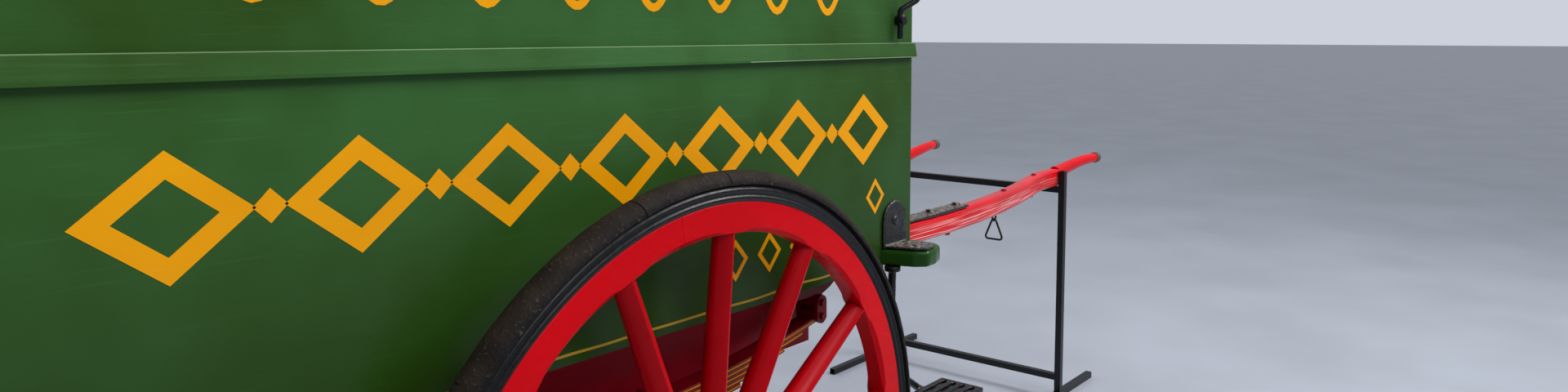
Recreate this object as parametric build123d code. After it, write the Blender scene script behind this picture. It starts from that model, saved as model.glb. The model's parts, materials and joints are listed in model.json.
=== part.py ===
# Two-wheeled horse-drawn delivery wagon with a closed body, standing on its
# wheels with its shafts laid on a black tube stand.
# Millimetres. X runs forward towards the shafts, Y to the wagon's left, Z up.
# Lengths along X are given from the axle, heights from the floor, and the
# finished pieces are moved so that the origin is below the middle of the whole.
from build123d import *
from math import atan2, cos, pi, radians, sin, tan
import os

# Wheels
felloe_outer_r = 581.5
felloe_depth = 54
felloe_thick = 46
felloe_edge = 5
felloe_count = 7
felloe_joint_gap = 1.5
felloe_joint_depth = 4
channel_height = 26.5
channel_width = 51
channel_wall = 3.5
tyre_width = 56
tyre_shoulder = 4
tyre_crown = 22
tyre_rim_gap = 1
wheel_stand_off = 86
wheel_camber = 1.64
wheel_dish = 5
spoke_count = 14
spoke_first_angle = 86.8
spoke_foot = 25
spoke_root_width = 38
spoke_root_depth = 61
spoke_swell_reach = 140
spoke_swell_width = 44
spoke_swell_depth = 53
spoke_tongue = 15
spoke_head_width = 41
spoke_head_depth = 44
spoke_roundness = 0.42
nave_r = 100
nave_land = 64
nave_length = 230
nave_end_r = 74
nave_shoulder_r = 90
nave_shoulder_length = 12
band_thick = 5
band_width = 26
cap_r = 46
cap_end_r = 32
cap_length = 60
cap_straight = 42
cap_wall = 5
arm_clearance = 0.5

# Axle and springs
axle_square = 45
axle_arm_r = 24
axle_collar_r = 40
axle_collar_width = 18
axle_collar_gap = 6
axle_pad_height = 84.12
axle_pad_reach = 60
spring_inset = 97.5
spring_width = 45
spring_eye_x = 532
leaf_rise = 54
leaf_thick = 10.5
leaf_steps = (0, 54, 119, 189, 264, 339, 414)
eye_r = 16
eye_bolt_r = 8
eye_bolt_head = 7
eye_to_floor = 98
clip_rod_r = 6
clip_x = 36
clip_plate_thick = 10
clip_plate_edge = 9
clip_thread = 16
clip_play = 1
shackle_rise = 30
shackle_thick = 8
shackle_r = 17
hanger_rear_reach = 124
hanger_front_reach = 101
hanger_step_reach = 42.5
hanger_step_drop = 40
hanger_drop = 50
hanger_tip = 6
hanger_gap = 1

# Underframe
sole_inset = 150
sole_thick = 50
sole_depth = 183
sole_front_inset = 198
sole_rear_inset = 70
bearer_width = 60
bearer_depth = 120
bearer_count = 4
bearer_rear_inset = 120
bearer_front_inset = 180

# Body, its heights from the floor boards
body_front_x = 788
body_rear_x = -1022
body_half_width = 855
body_height = 1152
side_thick = 24
floor_thick = 28
roof_rise = 170
roof_thick = 16
roof_side_overhang = 42
roof_front_overhang = 185
roof_rear_overhang = 45
scoop_height = 670
scoop_r = 280
front_post_r = 10
front_post_inset = 30
front_post_socket = 30
rail_height = 447
rail_depth = 34
rail_stand_out = 13
rail_top_stand_out = 8
rail_bead = 5
rail_front_reach = 2
eaves_rail_depth = 45
eaves_rail_stand_out = 20
eaves_rail_gap = 2
bulkhead_inset = 418
bulkhead_thick = 20
post_size = 45
header_depth = 90
front_header_set_back = 40
front_header_thick = 20
front_header_drop = 60
front_arch_rise = 130
front_arch_side = 50
front_arch_lift = 75
runner_heights = (252, 522, 792)
runner_size = 24
bench_depth = 350
bench_height = 442
bench_board = 26
bench_lip = 40
bench_front_thick = 20

# Rear doors
door_thick = 26
door_gap = 6
door_middle_gap = 9
panel_recess = 8
panel_border = 85
hinge_pin_x_out = 14
hinge_pin_r = 5.5
hinge_pin_rise = 6
hinge_pin_drop = 10
hinge_knuckle_r = 10
hinge_clearance = 0.4
hinge_seat_gap = 1
hinge_web_gap = 2
hinge_web_reach = 12
hinge_strap_length = 250
hinge_strap_width = 38
hinge_strap_thick = 5
hinge_bottom_inset = 116
hinge_top_inset = 64
hinge_lug_height = 12
hinge_arm_half_thick = 6
hinge_arm_width = 14
hinge_plate_inset = 4
hinge_plate_gap = 8
handle_under_rail = 70
handle_from_middle = 42
handle_plate_width = 40
handle_plate_height = 110
handle_plate_thick = 4
handle_reach = 38
handle_r = 7
handle_bend_r = 16
handle_grip = 95

# Front of the body
footboard_rear_inset = 124
footboard_front_reach = 140
footboard_thick = 38
footboard_rise = 12
footboard_corner = 22
footboard_corner_in = 30
# Outline of the ear at each end: forward of the rear edge, out from the body side
footboard_ear = ((0, 0), (29, 73), (50, 97), (92, 92), (134, 78), (148, 62), (148, -20))
footboard_front_inset = 90
footboard_edge = 5
corner_iron_inset = 73
corner_iron_width = 96
corner_iron_height = 106
corner_iron_thick = 7
corner_iron_edge_gap = 4
step_inset = 108
step_side_out = 22
step_stem_r = 9.25
step_collar_r = 19
step_collar_height = 12
step_drop = 372
step_knee = 3
step_knee_in = 7
step_knee_drop = 212
step_sweep_gap = 8
step_sweep_rise = 37
step_sweep_in = 12
step_run_reach = 80
step_run_end = 30
step_seat = 2
step_bend_radii = (90, 90, 55)
step_tread_reach = 203
step_tread_length = 152
step_tread_width = 122
step_tread_in = 74
step_tread_thick = 14
step_tread_bar = 14
step_slot_count = 4
lamp_inset = 70
lamp_rail_gap = 9
lamp_stem_height = 65
lamp_height = 232
lamp_iron_r = 7
lamp_bend_r = 9
lamp_stand_off = 6
lamp_reach_x = 32
lamp_reach_y = 25
lamp_reach_z = 24
lamp_boss_r = 11
lamp_boss_rise = 42
lamp_boss_forward = 4
lamp_boss_proud = 3

# Shafts
shaft_inset = 275
shaft_floor_gap = 7
shaft_tip_y = 402
shaft_pinch_y = 376
shaft_rear_x = -172
shaft_straight_x = 1178
shaft_pinch_gap = 67
shaft_shoulder_gap = 21
shaft_root_depth = 64
shaft_root_width = 58
shaft_pinch_depth = 71
shaft_pinch_width = 50
shaft_pinch_drop = 21
shaft_edge = 14
shaft_bend_end = 12
shaft_bend_steps = 8
horn_length = 367
horn_root_depth = 54
horn_root_width = 44
horn_root_rise = 12
horn_lift = 49.5
horn_lift_share = 0.2
horn_tip_r = 20
round_share = 0.49
ferrule_length = 36
ferrule_wall = 2.5
ferrule_edge = 8
shaft_plate_length = 624
shaft_plate_thick = 8.9
shaft_plate_width = 58
shaft_plate_lift = 0.05
shaft_plate_bends = 3
shaft_bolt_reaches = (412, 584)
shaft_bolt_r = 13
shaft_bolt_height = 9
link_reach = 670
link_rod_r = 3.5
link_height = 78
link_width = 76
staple_drop = 22
staple_width = 22
staple_corner_r = 9.5
link_corner_r = 9
link_play = 0.3

# Stand
stand_x = 2645
tube = 25
tube_wall = 2.5
upright_right_gap = 42
upright_left_gap = 96
upright_rise = 64
tie_bottom_z = 72
foot_rear_reach = 367
foot_front_reach = 318

# Worked out from the sizes above: wheels, axle and springs, from the floor up
felloe_inner_r = felloe_outer_r - felloe_depth
channel_outer_r = felloe_outer_r + channel_height
tyre_r = channel_outer_r + tyre_shoulder + tyre_crown
tyre_crown_r = ((tyre_width / 2) ** 2 + tyre_crown ** 2) / (2 * tyre_crown)
tilt = radians(wheel_camber)
wheel_y = body_half_width + wheel_stand_off
wheel_z = tyre_r - (tyre_r - tyre_crown_r) * (1 - cos(tilt))
axle_bed_y = wheel_y - wheel_dish - nave_length / 2 - axle_collar_gap - axle_collar_width
axle_bed_z = wheel_z + (wheel_y - axle_bed_y) * tan(tilt)
axle_top_z = axle_bed_z + axle_square / 2
spring_y = body_half_width - spring_inset
pack_bottom_z = axle_top_z + axle_pad_height
spring_top_z = pack_bottom_z + leaf_thick * len(leaf_steps)
spring_eye_z = spring_top_z + leaf_rise
leaf_r = (spring_eye_x ** 2 + leaf_rise ** 2) / (2 * leaf_rise)

# Worked out: underframe and body
floor_bottom_z = spring_eye_z + eye_to_floor
floor_top_z = floor_bottom_z + floor_thick
sole_outer_y = body_half_width - sole_inset
side_inner_y = body_half_width - side_thick
eaves_z = floor_top_z + body_height
rail_bottom_z = floor_top_z + rail_height
rail_top_z = rail_bottom_z + rail_depth
scoop_bottom_z = floor_top_z + scoop_height
scoop_top_x = body_front_x - scoop_r
bulkhead_x = body_front_x - bulkhead_inset
bench_top_z = floor_top_z + bench_height
roof_half = body_half_width + roof_side_overhang
roof_r = (roof_half ** 2 + roof_rise ** 2) / (2 * roof_rise)
roof_centre_z = eaves_z + roof_rise - roof_r
footboard_rear_x = body_front_x - footboard_rear_inset
footboard_front_x = body_front_x + footboard_front_reach
footboard_top_z = floor_top_z + footboard_rise
footboard_bottom_z = footboard_top_z - footboard_thick
step_x = body_front_x - step_inset
step_y = body_half_width + step_side_out
step_tread_z = footboard_bottom_z - step_drop
step_tread_rear_x = step_x + step_tread_reach
step_tread_front_x = step_tread_rear_x + step_tread_length
step_tread_inner_y = step_y - step_tread_in
lamp_x = body_front_x - lamp_inset
lamp_bottom_z = rail_top_z + lamp_rail_gap
lamp_bend_z = lamp_bottom_z + lamp_stem_height
lamp_top_z = lamp_bottom_z + lamp_height

# Worked out: shafts and stand
shaft_y = body_half_width - shaft_inset
shaft_root_z = floor_bottom_z - shaft_floor_gap - shaft_root_depth / 2
shaft_pinch_bottom_z = shaft_root_z - shaft_root_depth / 2 - shaft_pinch_drop
shaft_pinch_z = shaft_pinch_bottom_z + shaft_pinch_depth / 2
shaft_pinch_x = stand_x - shaft_pinch_gap
shaft_shoulder_x = stand_x + shaft_shoulder_gap
shaft_tip_x = shaft_shoulder_x + horn_length
link_x = shaft_straight_x + link_reach
upright_right_y = -shaft_pinch_y - upright_right_gap
upright_left_y = shaft_pinch_y + upright_left_gap
origin_x = (body_rear_x - roof_rear_overhang + shaft_tip_x) / 2


def save(node, *solids):
    """Writes one node's solids, moved to the shared origin."""
    moved = [Pos(-origin_x, 0, 0) * solid for solid in solids]
    whole = moved[0] if len(moved) == 1 else Compound(children=moved)
    export_step(whole, f"parts/{node}.step")


def both_sides(piece):
    """A piece of the right side and its mirror image on the left."""
    return [piece, mirror(piece, about=Plane.XZ)]


def block(x0, x1, y0, y1, z0, z1):
    """A plain board or bar between two corners."""
    size = (x1 - x0, y1 - y0, z1 - z0)
    return Pos((x0 + x1) / 2, (y0 + y1) / 2, (z0 + z1) / 2) * Box(*size)


def rod(start, end, r):
    """A round bar from one point to another."""
    run = Vector(*end) - Vector(*start)
    plane = Plane(origin=start, z_dir=run)
    return extrude(plane * Circle(r), run.length)


def bent_rod(points, radii, r):
    """A round bar along straight runs with rounded corners."""
    path = FilletPolyline(*points, radius=radii)
    section = Plane(origin=path @ 0, z_dir=path % 0) * Circle(r)
    return sweep(section, path=path)


def wheel_plane(side):
    """The middle plane of a wheel, its axis pointing out of the wagon."""
    return Plane(
        origin=(0, side * wheel_y, wheel_z),
        x_dir=(1, 0, 0),
        z_dir=(0, side * cos(tilt), -sin(tilt)),
    )


def turned(profile):
    """A turned piece from (radius, height along the axis) corner points."""
    outline = Polyline(*[(r, 0, h) for r, h in profile], close=True)
    return revolve(make_face(outline), axis=Axis.Z)


# Wheels, each drawn about its own axis with +Z pointing outwards
def felloes():
    half = felloe_thick / 2
    ring = turned([
        (felloe_inner_r + felloe_edge, -half),
        (felloe_outer_r, -half),
        (felloe_outer_r, half),
        (felloe_inner_r + felloe_edge, half),
        (felloe_inner_r, half - felloe_edge),
        (felloe_inner_r, felloe_edge - half),
    ])
    pitch = 360 / felloe_count
    first = spoke_first_angle + 180 / spoke_count
    depth = felloe_outer_r - felloe_inner_r + 2 * felloe_edge
    middle_r = (felloe_outer_r + felloe_inner_r) / 2
    for i in range(felloe_count):
        for face in (-half, half):
            slot = Pos(middle_r, 0, face) * Box(depth, felloe_joint_gap, 2 * felloe_joint_depth)
            ring -= Rot(0, 0, first + i * pitch) * slot
    return ring


def spokes():
    # Columns: radius, width around the wheel, depth along the axle
    stations = (
        (nave_r - spoke_foot, spoke_root_width, spoke_root_depth),
        (nave_r + spoke_swell_reach, spoke_swell_width, spoke_swell_depth),
        (felloe_inner_r + spoke_tongue, spoke_head_width, spoke_head_depth),
    )
    sections = []
    for r, width, depth in stations:
        lean = -wheel_dish * (felloe_inner_r - r) / (felloe_inner_r - nave_r)
        plane = Plane(origin=(r, 0, lean), x_dir=(0, 1, 0), z_dir=(1, 0, 0))
        sections.append(plane * RectangleRounded(width, depth, spoke_roundness * min(width, depth)))
    blank = loft(sections, ruled=True)
    reach = felloe_inner_r * 2
    keep = Cylinder(felloe_inner_r, reach) - Cylinder(nave_r, reach)
    spoke = blank & keep
    pitch = 360 / spoke_count
    return [Rot(0, 0, spoke_first_angle + i * pitch) * spoke for i in range(spoke_count)]


def nave():
    half = nave_length / 2
    land = nave_land / 2
    bore = axle_arm_r + arm_clearance
    barrel = turned([
        (bore, -half),
        (nave_end_r, -half),
        (nave_shoulder_r, -land - nave_shoulder_length),
        (nave_r, -land),
        (nave_r, land),
        (nave_shoulder_r, land + nave_shoulder_length),
        (nave_end_r, half),
        (bore, half),
    ])
    return Pos(0, 0, -wheel_dish) * barrel


def hub_irons():
    half = nave_length / 2
    slope = (nave_shoulder_r - nave_end_r) / (half - nave_land / 2 - nave_shoulder_length)
    inner = nave_end_r + slope * band_width
    start = half - band_width
    pieces = []
    for side in (-1, 1):
        pieces.append(turned([
            (nave_end_r, side * half),
            (inner, side * start),
            (inner + band_thick, side * start),
            (nave_end_r + band_thick, side * half),
        ]))
    pieces.append(turned([
        (cap_r - cap_wall, half),
        (cap_r, half),
        (cap_r, half + cap_straight),
        (cap_end_r, half + cap_length),
        (0, half + cap_length),
        (0, half + cap_length - cap_wall),
        (cap_r - cap_wall, half + cap_straight - cap_wall),
    ]))
    return [Pos(0, 0, -wheel_dish) * piece for piece in pieces]


def tyre_channel():
    half = channel_width / 2
    return turned([
        (felloe_outer_r, -half),
        (channel_outer_r, -half),
        (channel_outer_r, channel_wall - half),
        (felloe_outer_r + channel_wall, channel_wall - half),
        (felloe_outer_r + channel_wall, half - channel_wall),
        (channel_outer_r, half - channel_wall),
        (channel_outer_r, half),
        (felloe_outer_r, half),
    ])


def tyre():
    seat = felloe_outer_r + channel_wall
    inside = channel_width / 2 - channel_wall
    half = tyre_width / 2
    rim = channel_outer_r + tyre_rim_gap
    shoulder = channel_outer_r + tyre_shoulder
    outline = [
        Polyline((shoulder, 0, half), (rim, 0, half), (rim, 0, inside), (seat, 0, inside),
                 (seat, 0, -inside), (rim, 0, -inside), (rim, 0, -half), (shoulder, 0, -half)),
        ThreePointArc((shoulder, 0, -half), (tyre_r, 0, 0), (shoulder, 0, half)),
    ]
    return revolve(make_face(outline), axis=Axis.Z)


wheel_pieces = {
    "felloes": [felloes()],
    "spokes": spokes(),
    "nave": [nave()],
    "hub_irons": hub_irons(),
    "tyre_channel": [tyre_channel()],
    "tyre": [tyre()],
}


# Axle, springs and what hangs them
def axle():
    half = axle_square / 2
    bar = block(-half, half, -axle_bed_y, axle_bed_y, axle_bed_z - half, axle_bed_z + half)
    for side in (-1, 1):
        place = wheel_plane(side).location
        inner = -wheel_dish - nave_length / 2 - axle_collar_gap
        collar = Pos(0, 0, inner - axle_collar_width / 2) * Cylinder(axle_collar_r, axle_collar_width)
        arm_end = nave_length / 2 - wheel_dish
        length = arm_end - inner + axle_collar_width
        arm = Pos(0, 0, arm_end - length / 2) * Cylinder(axle_arm_r, length)
        bar += place * (collar + arm)
    return bar


def spring():
    centre_z = spring_top_z + leaf_r
    pack = None
    for i, step in enumerate(leaf_steps):
        top_r = leaf_r + i * leaf_thick
        bottom_r = top_r + leaf_thick
        angle = atan2(spring_eye_x - step, leaf_r)
        ends = []
        for r in (top_r, bottom_r):
            ends.append([(sign * r * sin(angle), 0, centre_z - r * cos(angle)) for sign in (-1, 1)])
        top = ThreePointArc(ends[0][0], (0, 0, centre_z - top_r), ends[0][1])
        low = ThreePointArc(ends[1][1], (0, 0, centre_z - bottom_r), ends[1][0])
        face = make_face([top, Line(ends[0][1], ends[1][1]), low, Line(ends[1][0], ends[0][0])])
        leaf = extrude(face, spring_width / 2, both=True)
        pack = leaf if pack is None else pack + leaf
    for sign in (-1, 1):
        place = Pos(sign * spring_eye_x, 0, spring_eye_z) * Rot(90, 0, 0)
        eye = place * Cylinder(eye_r, spring_width)
        hole = place * Cylinder(eye_bolt_r, 2 * spring_width)
        pack = pack + eye - hole
    return Pos(0, -spring_y, 0) * pack


def spring_hanger(sign):
    """One end's hanger under the body, its two shackle links and their bolts."""
    top_z = spring_eye_z + shackle_rise
    half = spring_width / 2
    rear_x = spring_eye_x - hanger_rear_reach
    front_x = spring_eye_x + hanger_front_reach
    profile = make_face(Polyline(
        (sign * rear_x, 0, floor_bottom_z),
        (sign * front_x, 0, floor_bottom_z),
        (sign * front_x, 0, floor_bottom_z - hanger_tip),
        (sign * (spring_eye_x + hanger_step_reach), 0, floor_bottom_z - hanger_step_drop),
        (sign * (spring_eye_x + shackle_r), 0, floor_bottom_z - hanger_drop),
        (sign * (rear_x + hanger_drop / 2), 0, floor_bottom_z - hanger_drop),
        (sign * rear_x, 0, floor_bottom_z - hanger_tip),
        close=True,
    ))
    bracket = extrude(profile, half - hanger_gap, both=True)
    knuckle_r = shackle_rise - eye_r - hanger_gap
    top_place = Pos(sign * spring_eye_x, 0, top_z) * Rot(90, 0, 0)
    knuckle = top_place * Cylinder(knuckle_r, spring_width - 2 * hanger_gap)
    stalk = block(sign * spring_eye_x - knuckle_r, sign * spring_eye_x + knuckle_r,
                  hanger_gap - half, half - hanger_gap, top_z, floor_bottom_z - hanger_drop + hanger_tip)
    unit = bracket + knuckle + stalk
    for face in (-1, 1):
        y = face * (half + shackle_thick / 2)
        link = Pos(sign * spring_eye_x, y, (spring_eye_z + top_z) / 2) * Rot(90, 0, 0) * extrude(
            Rot(0, 0, 90) * SlotCenterToCenter(shackle_rise, 2 * shackle_r), shackle_thick / 2, both=True)
        unit += link
    bolt_length = spring_width + 2 * shackle_thick + 2 * eye_bolt_head
    for z in (spring_eye_z, top_z):
        unit += Pos(sign * spring_eye_x, 0, z) * Rot(90, 0, 0) * Cylinder(eye_bolt_r, bolt_length)
    return Pos(0, -spring_y, 0) * unit - footboard_blank()


def axle_pad():
    half = spring_width / 2
    return block(-axle_pad_reach, axle_pad_reach, -spring_y - half, -spring_y + half,
                 axle_top_z, pack_bottom_z)


def spring_clips():
    """Two U-bolts over the leaves and the plate under the axle that they draw up."""
    out = spring_width / 2 + clip_rod_r
    plate_top = axle_top_z - axle_square
    plate_bottom = plate_top - clip_plate_thick
    unit = block(-clip_x - clip_plate_edge, clip_x + clip_plate_edge, -out - clip_plate_edge,
                 out + clip_plate_edge, plate_bottom, plate_top)
    over_z = spring_top_z + clip_rod_r + clip_play
    for x in (-clip_x, clip_x):
        for y in (-out, out):
            unit += rod((x, y, plate_bottom - clip_thread), (x, y, over_z), clip_rod_r)
        unit += rod((x, -out, over_z), (x, out, over_z), clip_rod_r)
        for y in (-out, out):
            unit += Pos(x, y, over_z) * Sphere(clip_rod_r)
    return Pos(0, -spring_y, 0) * unit


# Shafts
def ease(t):
    """Goes smoothly from 0 to 1."""
    return t * t * (3 - 2 * t)


def draw_in(t):
    """Goes from 0 to 1 ever faster, and straightens close to 1."""
    last = 2 / shaft_bend_end
    return t * t * (1 + last - last * t ** shaft_bend_end)


def shaft_station(x):
    """Sideways place, height, width and depth of a shaft at a length x."""
    t = min(max((x - shaft_straight_x) / (shaft_pinch_x - shaft_straight_x), 0), 1)
    y = shaft_y + (shaft_pinch_y - shaft_y) * draw_in(t)
    z = shaft_root_z + (shaft_pinch_z - shaft_root_z) * t
    width = shaft_root_width + (shaft_pinch_width - shaft_root_width) * t
    depth = shaft_root_depth + (shaft_pinch_depth - shaft_root_depth) * t
    return y, z, width, depth


def horn_station(x):
    """The same for the slimmer end in front of the stand."""
    t = (x - shaft_shoulder_x) / (horn_length - ferrule_length)
    y = shaft_pinch_y + (shaft_tip_y - shaft_pinch_y) * t * t
    lift = ease(horn_lift_share + (1 - horn_lift_share) * t)
    z = shaft_pinch_z + horn_root_rise + (horn_lift - horn_root_rise) * lift
    width = horn_root_width + (2 * horn_tip_r - horn_root_width) * t
    depth = horn_root_depth + (2 * horn_tip_r - horn_root_depth) * t
    return y, z, width, depth


def section(x, station, edge):
    y, z, width, depth = station
    plane = Plane(origin=(x, -y, z), x_dir=(0, 1, 0), z_dir=(1, 0, 0))
    return plane * RectangleRounded(width, depth, min(edge, round_share * min(width, depth)))


def shaft():
    step = (shaft_pinch_x - shaft_straight_x) / shaft_bend_steps
    xs = [shaft_rear_x] + [shaft_straight_x + step * i for i in range(shaft_bend_steps + 1)]
    xs.append(shaft_shoulder_x)
    thick_part = loft([section(x, shaft_station(x), shaft_edge) for x in xs], ruled=True)
    horn_steps = 3
    length = horn_length - ferrule_length
    horn_xs = [shaft_shoulder_x + length * i / horn_steps for i in range(horn_steps + 1)]
    horn = loft([section(x, horn_station(x), horn_tip_r) for x in horn_xs], ruled=True)
    return thick_part + horn


def shaft_tip():
    x = shaft_tip_x - ferrule_length
    y, z, width, depth = horn_station(x)
    plane = Plane(origin=(x, -y, z), x_dir=(0, 1, 0), z_dir=(1, 0, 0))
    cup = extrude(plane * Circle(horn_tip_r + ferrule_wall), ferrule_length)
    return fillet(cup.faces().sort_by(Axis.X)[-1].edges(), ferrule_edge)


def shaft_plate():
    """An iron along the top of a shaft, its rear end under the footboard."""
    bend_end_x = footboard_front_x + shaft_plate_length
    step = (bend_end_x - shaft_straight_x) / shaft_plate_bends
    xs = [footboard_rear_x] + [shaft_straight_x + step * i for i in range(shaft_plate_bends + 1)]
    sections = []
    for x in xs:
        y, z, width, depth = shaft_station(x)
        middle_z = z + depth / 2 + shaft_plate_lift + shaft_plate_thick / 2
        plane = Plane(origin=(x, -y, middle_z), x_dir=(0, 1, 0), z_dir=(1, 0, 0))
        sections.append(plane * Rectangle(shaft_plate_width, shaft_plate_thick))
    plate = loft(sections, ruled=True)
    for reach in shaft_bolt_reaches:
        x = footboard_front_x + reach
        y, z, width, depth = shaft_station(x)
        low = z + depth / 2 + shaft_plate_lift + shaft_plate_thick / 2
        plate += rod((x, -y, low), (x, -y, low + shaft_plate_thick / 2 + shaft_bolt_height), shaft_bolt_r)
    return plate


def trace_link():
    """A staple under the shaft with a triangular link hanging in it."""
    y, z, width, depth = shaft_station(link_x)
    under = z - depth / 2 - link_play
    eye_z = under - staple_drop
    out = staple_width / 2
    staple = bent_rod([(link_x - out, -y, under), (link_x - out, -y, eye_z), (link_x + out, -y, eye_z),
                       (link_x + out, -y, under)], staple_corner_r, link_rod_r)
    top = eye_z + 2 * link_rod_r + link_play
    height = link_height - 2 * link_rod_r
    half_width = link_width / 2 - link_rod_r
    half_apex = atan2(half_width, height)
    apex = top + link_corner_r / sin(half_apex) - link_corner_r
    outline = FilletPolyline(
        (link_x, -y, apex),
        (link_x, half_width - y, top - height),
        (link_x, -half_width - y, top - height),
        radius=link_corner_r, close=True)
    ring = sweep(Plane(origin=outline @ 0, z_dir=outline % 0) * Circle(link_rod_r), path=outline)
    return [staple, ring]


# Underframe and body
def sole_bar():
    return block(body_rear_x + sole_rear_inset, body_front_x - sole_front_inset,
                 -sole_outer_y, sole_thick - sole_outer_y, floor_bottom_z - sole_depth, floor_bottom_z)


def shaft_housing():
    """The room that a shaft takes in the bearers and the footboard."""
    half_width = shaft_root_width / 2
    half_depth = shaft_root_depth / 2
    return block(shaft_rear_x, shaft_straight_x, -shaft_y - half_width, -shaft_y + half_width,
                 shaft_root_z - half_depth, shaft_root_z + half_depth)


def floor_bearers():
    inner = sole_outer_y - sole_thick
    housings = both_sides(shaft_housing())
    first_x = body_rear_x + bearer_rear_inset
    last_x = footboard_rear_x - bearer_front_inset
    bearers = []
    for i in range(bearer_count):
        x = first_x + (last_x - first_x) * i / (bearer_count - 1)
        bearer = block(x, x + bearer_width, -inner, inner, floor_bottom_z - bearer_depth, floor_bottom_z)
        for housing in housings:
            bearer -= housing
        bearers.append(bearer)
    return bearers


def side_panel():
    outline = [
        Polyline(
            (footboard_rear_x, 0, footboard_top_z),
            (footboard_rear_x, 0, floor_bottom_z),
            (body_rear_x, 0, floor_bottom_z),
            (body_rear_x, 0, eaves_z),
            (scoop_top_x, 0, eaves_z),
            (scoop_top_x, 0, scoop_bottom_z + scoop_r),
        ),
        ThreePointArc(
            (scoop_top_x, 0, scoop_bottom_z + scoop_r),
            (body_front_x - scoop_r * sin(pi / 4), 0, scoop_bottom_z + scoop_r - scoop_r * cos(pi / 4)),
            (body_front_x, 0, scoop_bottom_z),
        ),
        Polyline(
            (body_front_x, 0, scoop_bottom_z),
            (body_front_x, 0, footboard_top_z),
            (footboard_rear_x, 0, footboard_top_z),
        ),
    ]
    panel = extrude(make_face(outline), side_thick / 2, both=True)
    return Pos(0, -body_half_width + side_thick / 2, 0) * panel


def belt_rail():
    y = -body_half_width
    profile = make_face(Polyline(
        (0, y, rail_bottom_z),
        (0, y - rail_stand_out, rail_bottom_z),
        (0, y - rail_stand_out, rail_bottom_z + rail_bead),
        (0, y - rail_top_stand_out, rail_top_z),
        (0, y, rail_top_z),
        close=True,
    ))
    rail = extrude(profile, body_front_x + rail_front_reach - body_rear_x, dir=(1, 0, 0))
    return Pos(body_rear_x, 0, 0) * rail


def eaves_rail():
    y = -body_half_width
    top = eaves_z - eaves_rail_gap
    low = eaves_z - eaves_rail_depth
    profile = make_face(Polyline(
        (0, y, low),
        (0, y - eaves_rail_stand_out / 2, low),
        (0, y - eaves_rail_stand_out, (low + eaves_z) / 2),
        (0, y - eaves_rail_stand_out, top),
        (0, y, top),
        close=True,
    ))
    rail = extrude(profile, scoop_top_x - body_rear_x, dir=(1, 0, 0))
    return Pos(body_rear_x, 0, 0) * rail


def roof():
    ends = []
    edge_angle = atan2(roof_half, eaves_z - roof_centre_z)
    for r in (roof_r, roof_r + roof_thick):
        y = r * sin(edge_angle)
        z = roof_centre_z + r * cos(edge_angle)
        ends.append([(0, -y, z), (0, y, z)])
    low = ThreePointArc(ends[0][0], (0, 0, roof_centre_z + roof_r), ends[0][1])
    top = ThreePointArc(ends[1][1], (0, 0, roof_centre_z + roof_r + roof_thick), ends[1][0])
    face = make_face([low, Line(ends[0][1], ends[1][1]), top, Line(ends[1][0], ends[0][0])])
    length = body_front_x + roof_front_overhang - body_rear_x + roof_rear_overhang
    shell = extrude(face, length, dir=(1, 0, 0))
    return Pos(body_rear_x - roof_rear_overhang, 0, 0) * shell


def under_roof_drum(x, length):
    """The round space under the roof, about a length x."""
    return Pos(x, 0, roof_centre_z) * Rot(0, 90, 0) * Cylinder(roof_r, length)


def under_roof(x0, x1, half_width, z0):
    """A board across the body whose top follows the roof."""
    board = block(x0, x1, -half_width, half_width, z0, eaves_z + roof_rise + roof_thick)
    return board & under_roof_drum((x0 + x1) / 2, 2 * (x1 - x0))


def bulkhead():
    return under_roof(bulkhead_x, bulkhead_x + bulkhead_thick, side_inner_y, floor_top_z)


def rear_frame():
    rear = body_rear_x
    frame = under_roof(rear, rear + post_size, side_inner_y, floor_top_z)
    opening_half = side_inner_y - post_size
    opening = block(rear - post_size, rear + 2 * post_size, -opening_half, opening_half,
                    floor_bottom_z, eaves_z - header_depth)
    return frame - opening


def front_header():
    """The arched board under the front edge of the roof."""
    x = body_front_x + roof_front_overhang - front_header_set_back
    board = under_roof(x, x + front_header_thick, body_half_width, eaves_z - front_header_drop)
    arch_half = body_half_width - front_arch_side
    arch_r = (arch_half ** 2 + front_arch_rise ** 2) / (2 * front_arch_rise)
    centre_z = eaves_z + front_arch_lift - arch_r
    return board - Pos(x, 0, centre_z) * Rot(0, 90, 0) * Cylinder(arch_r, 4 * front_header_thick)


def front_post():
    """The iron pillar that carries the roof at the front corner."""
    y = -body_half_width + side_thick / 2
    x = body_front_x - front_post_inset
    pillar = rod((x, y, scoop_bottom_z), (x, y, eaves_z + roof_rise), front_post_r)
    pillar += rod((x, y, scoop_bottom_z), (x, y, scoop_bottom_z + front_post_socket), side_thick / 2)
    return (pillar & under_roof_drum(x, 2 * side_thick)) - side_panel()


def tray_runners():
    runners = []
    for height in runner_heights:
        z = floor_top_z + height
        runner = block(body_rear_x + post_size, bulkhead_x, -side_inner_y, runner_size - side_inner_y,
                       z, z + runner_size)
        runners += both_sides(runner)
    return runners


def bench():
    x0 = bulkhead_x + bulkhead_thick
    x1 = x0 + bench_depth
    front_x = x1 - bench_lip
    under = bench_top_z - bench_board
    seat = block(x0, x1, -side_inner_y, side_inner_y, under, bench_top_z)
    front = block(front_x - bench_front_thick, front_x, -side_inner_y, side_inner_y, footboard_top_z, under)
    return seat + front


def floor():
    return block(body_rear_x, footboard_rear_x, -side_inner_y, side_inner_y, floor_bottom_z, floor_top_z)


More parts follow.
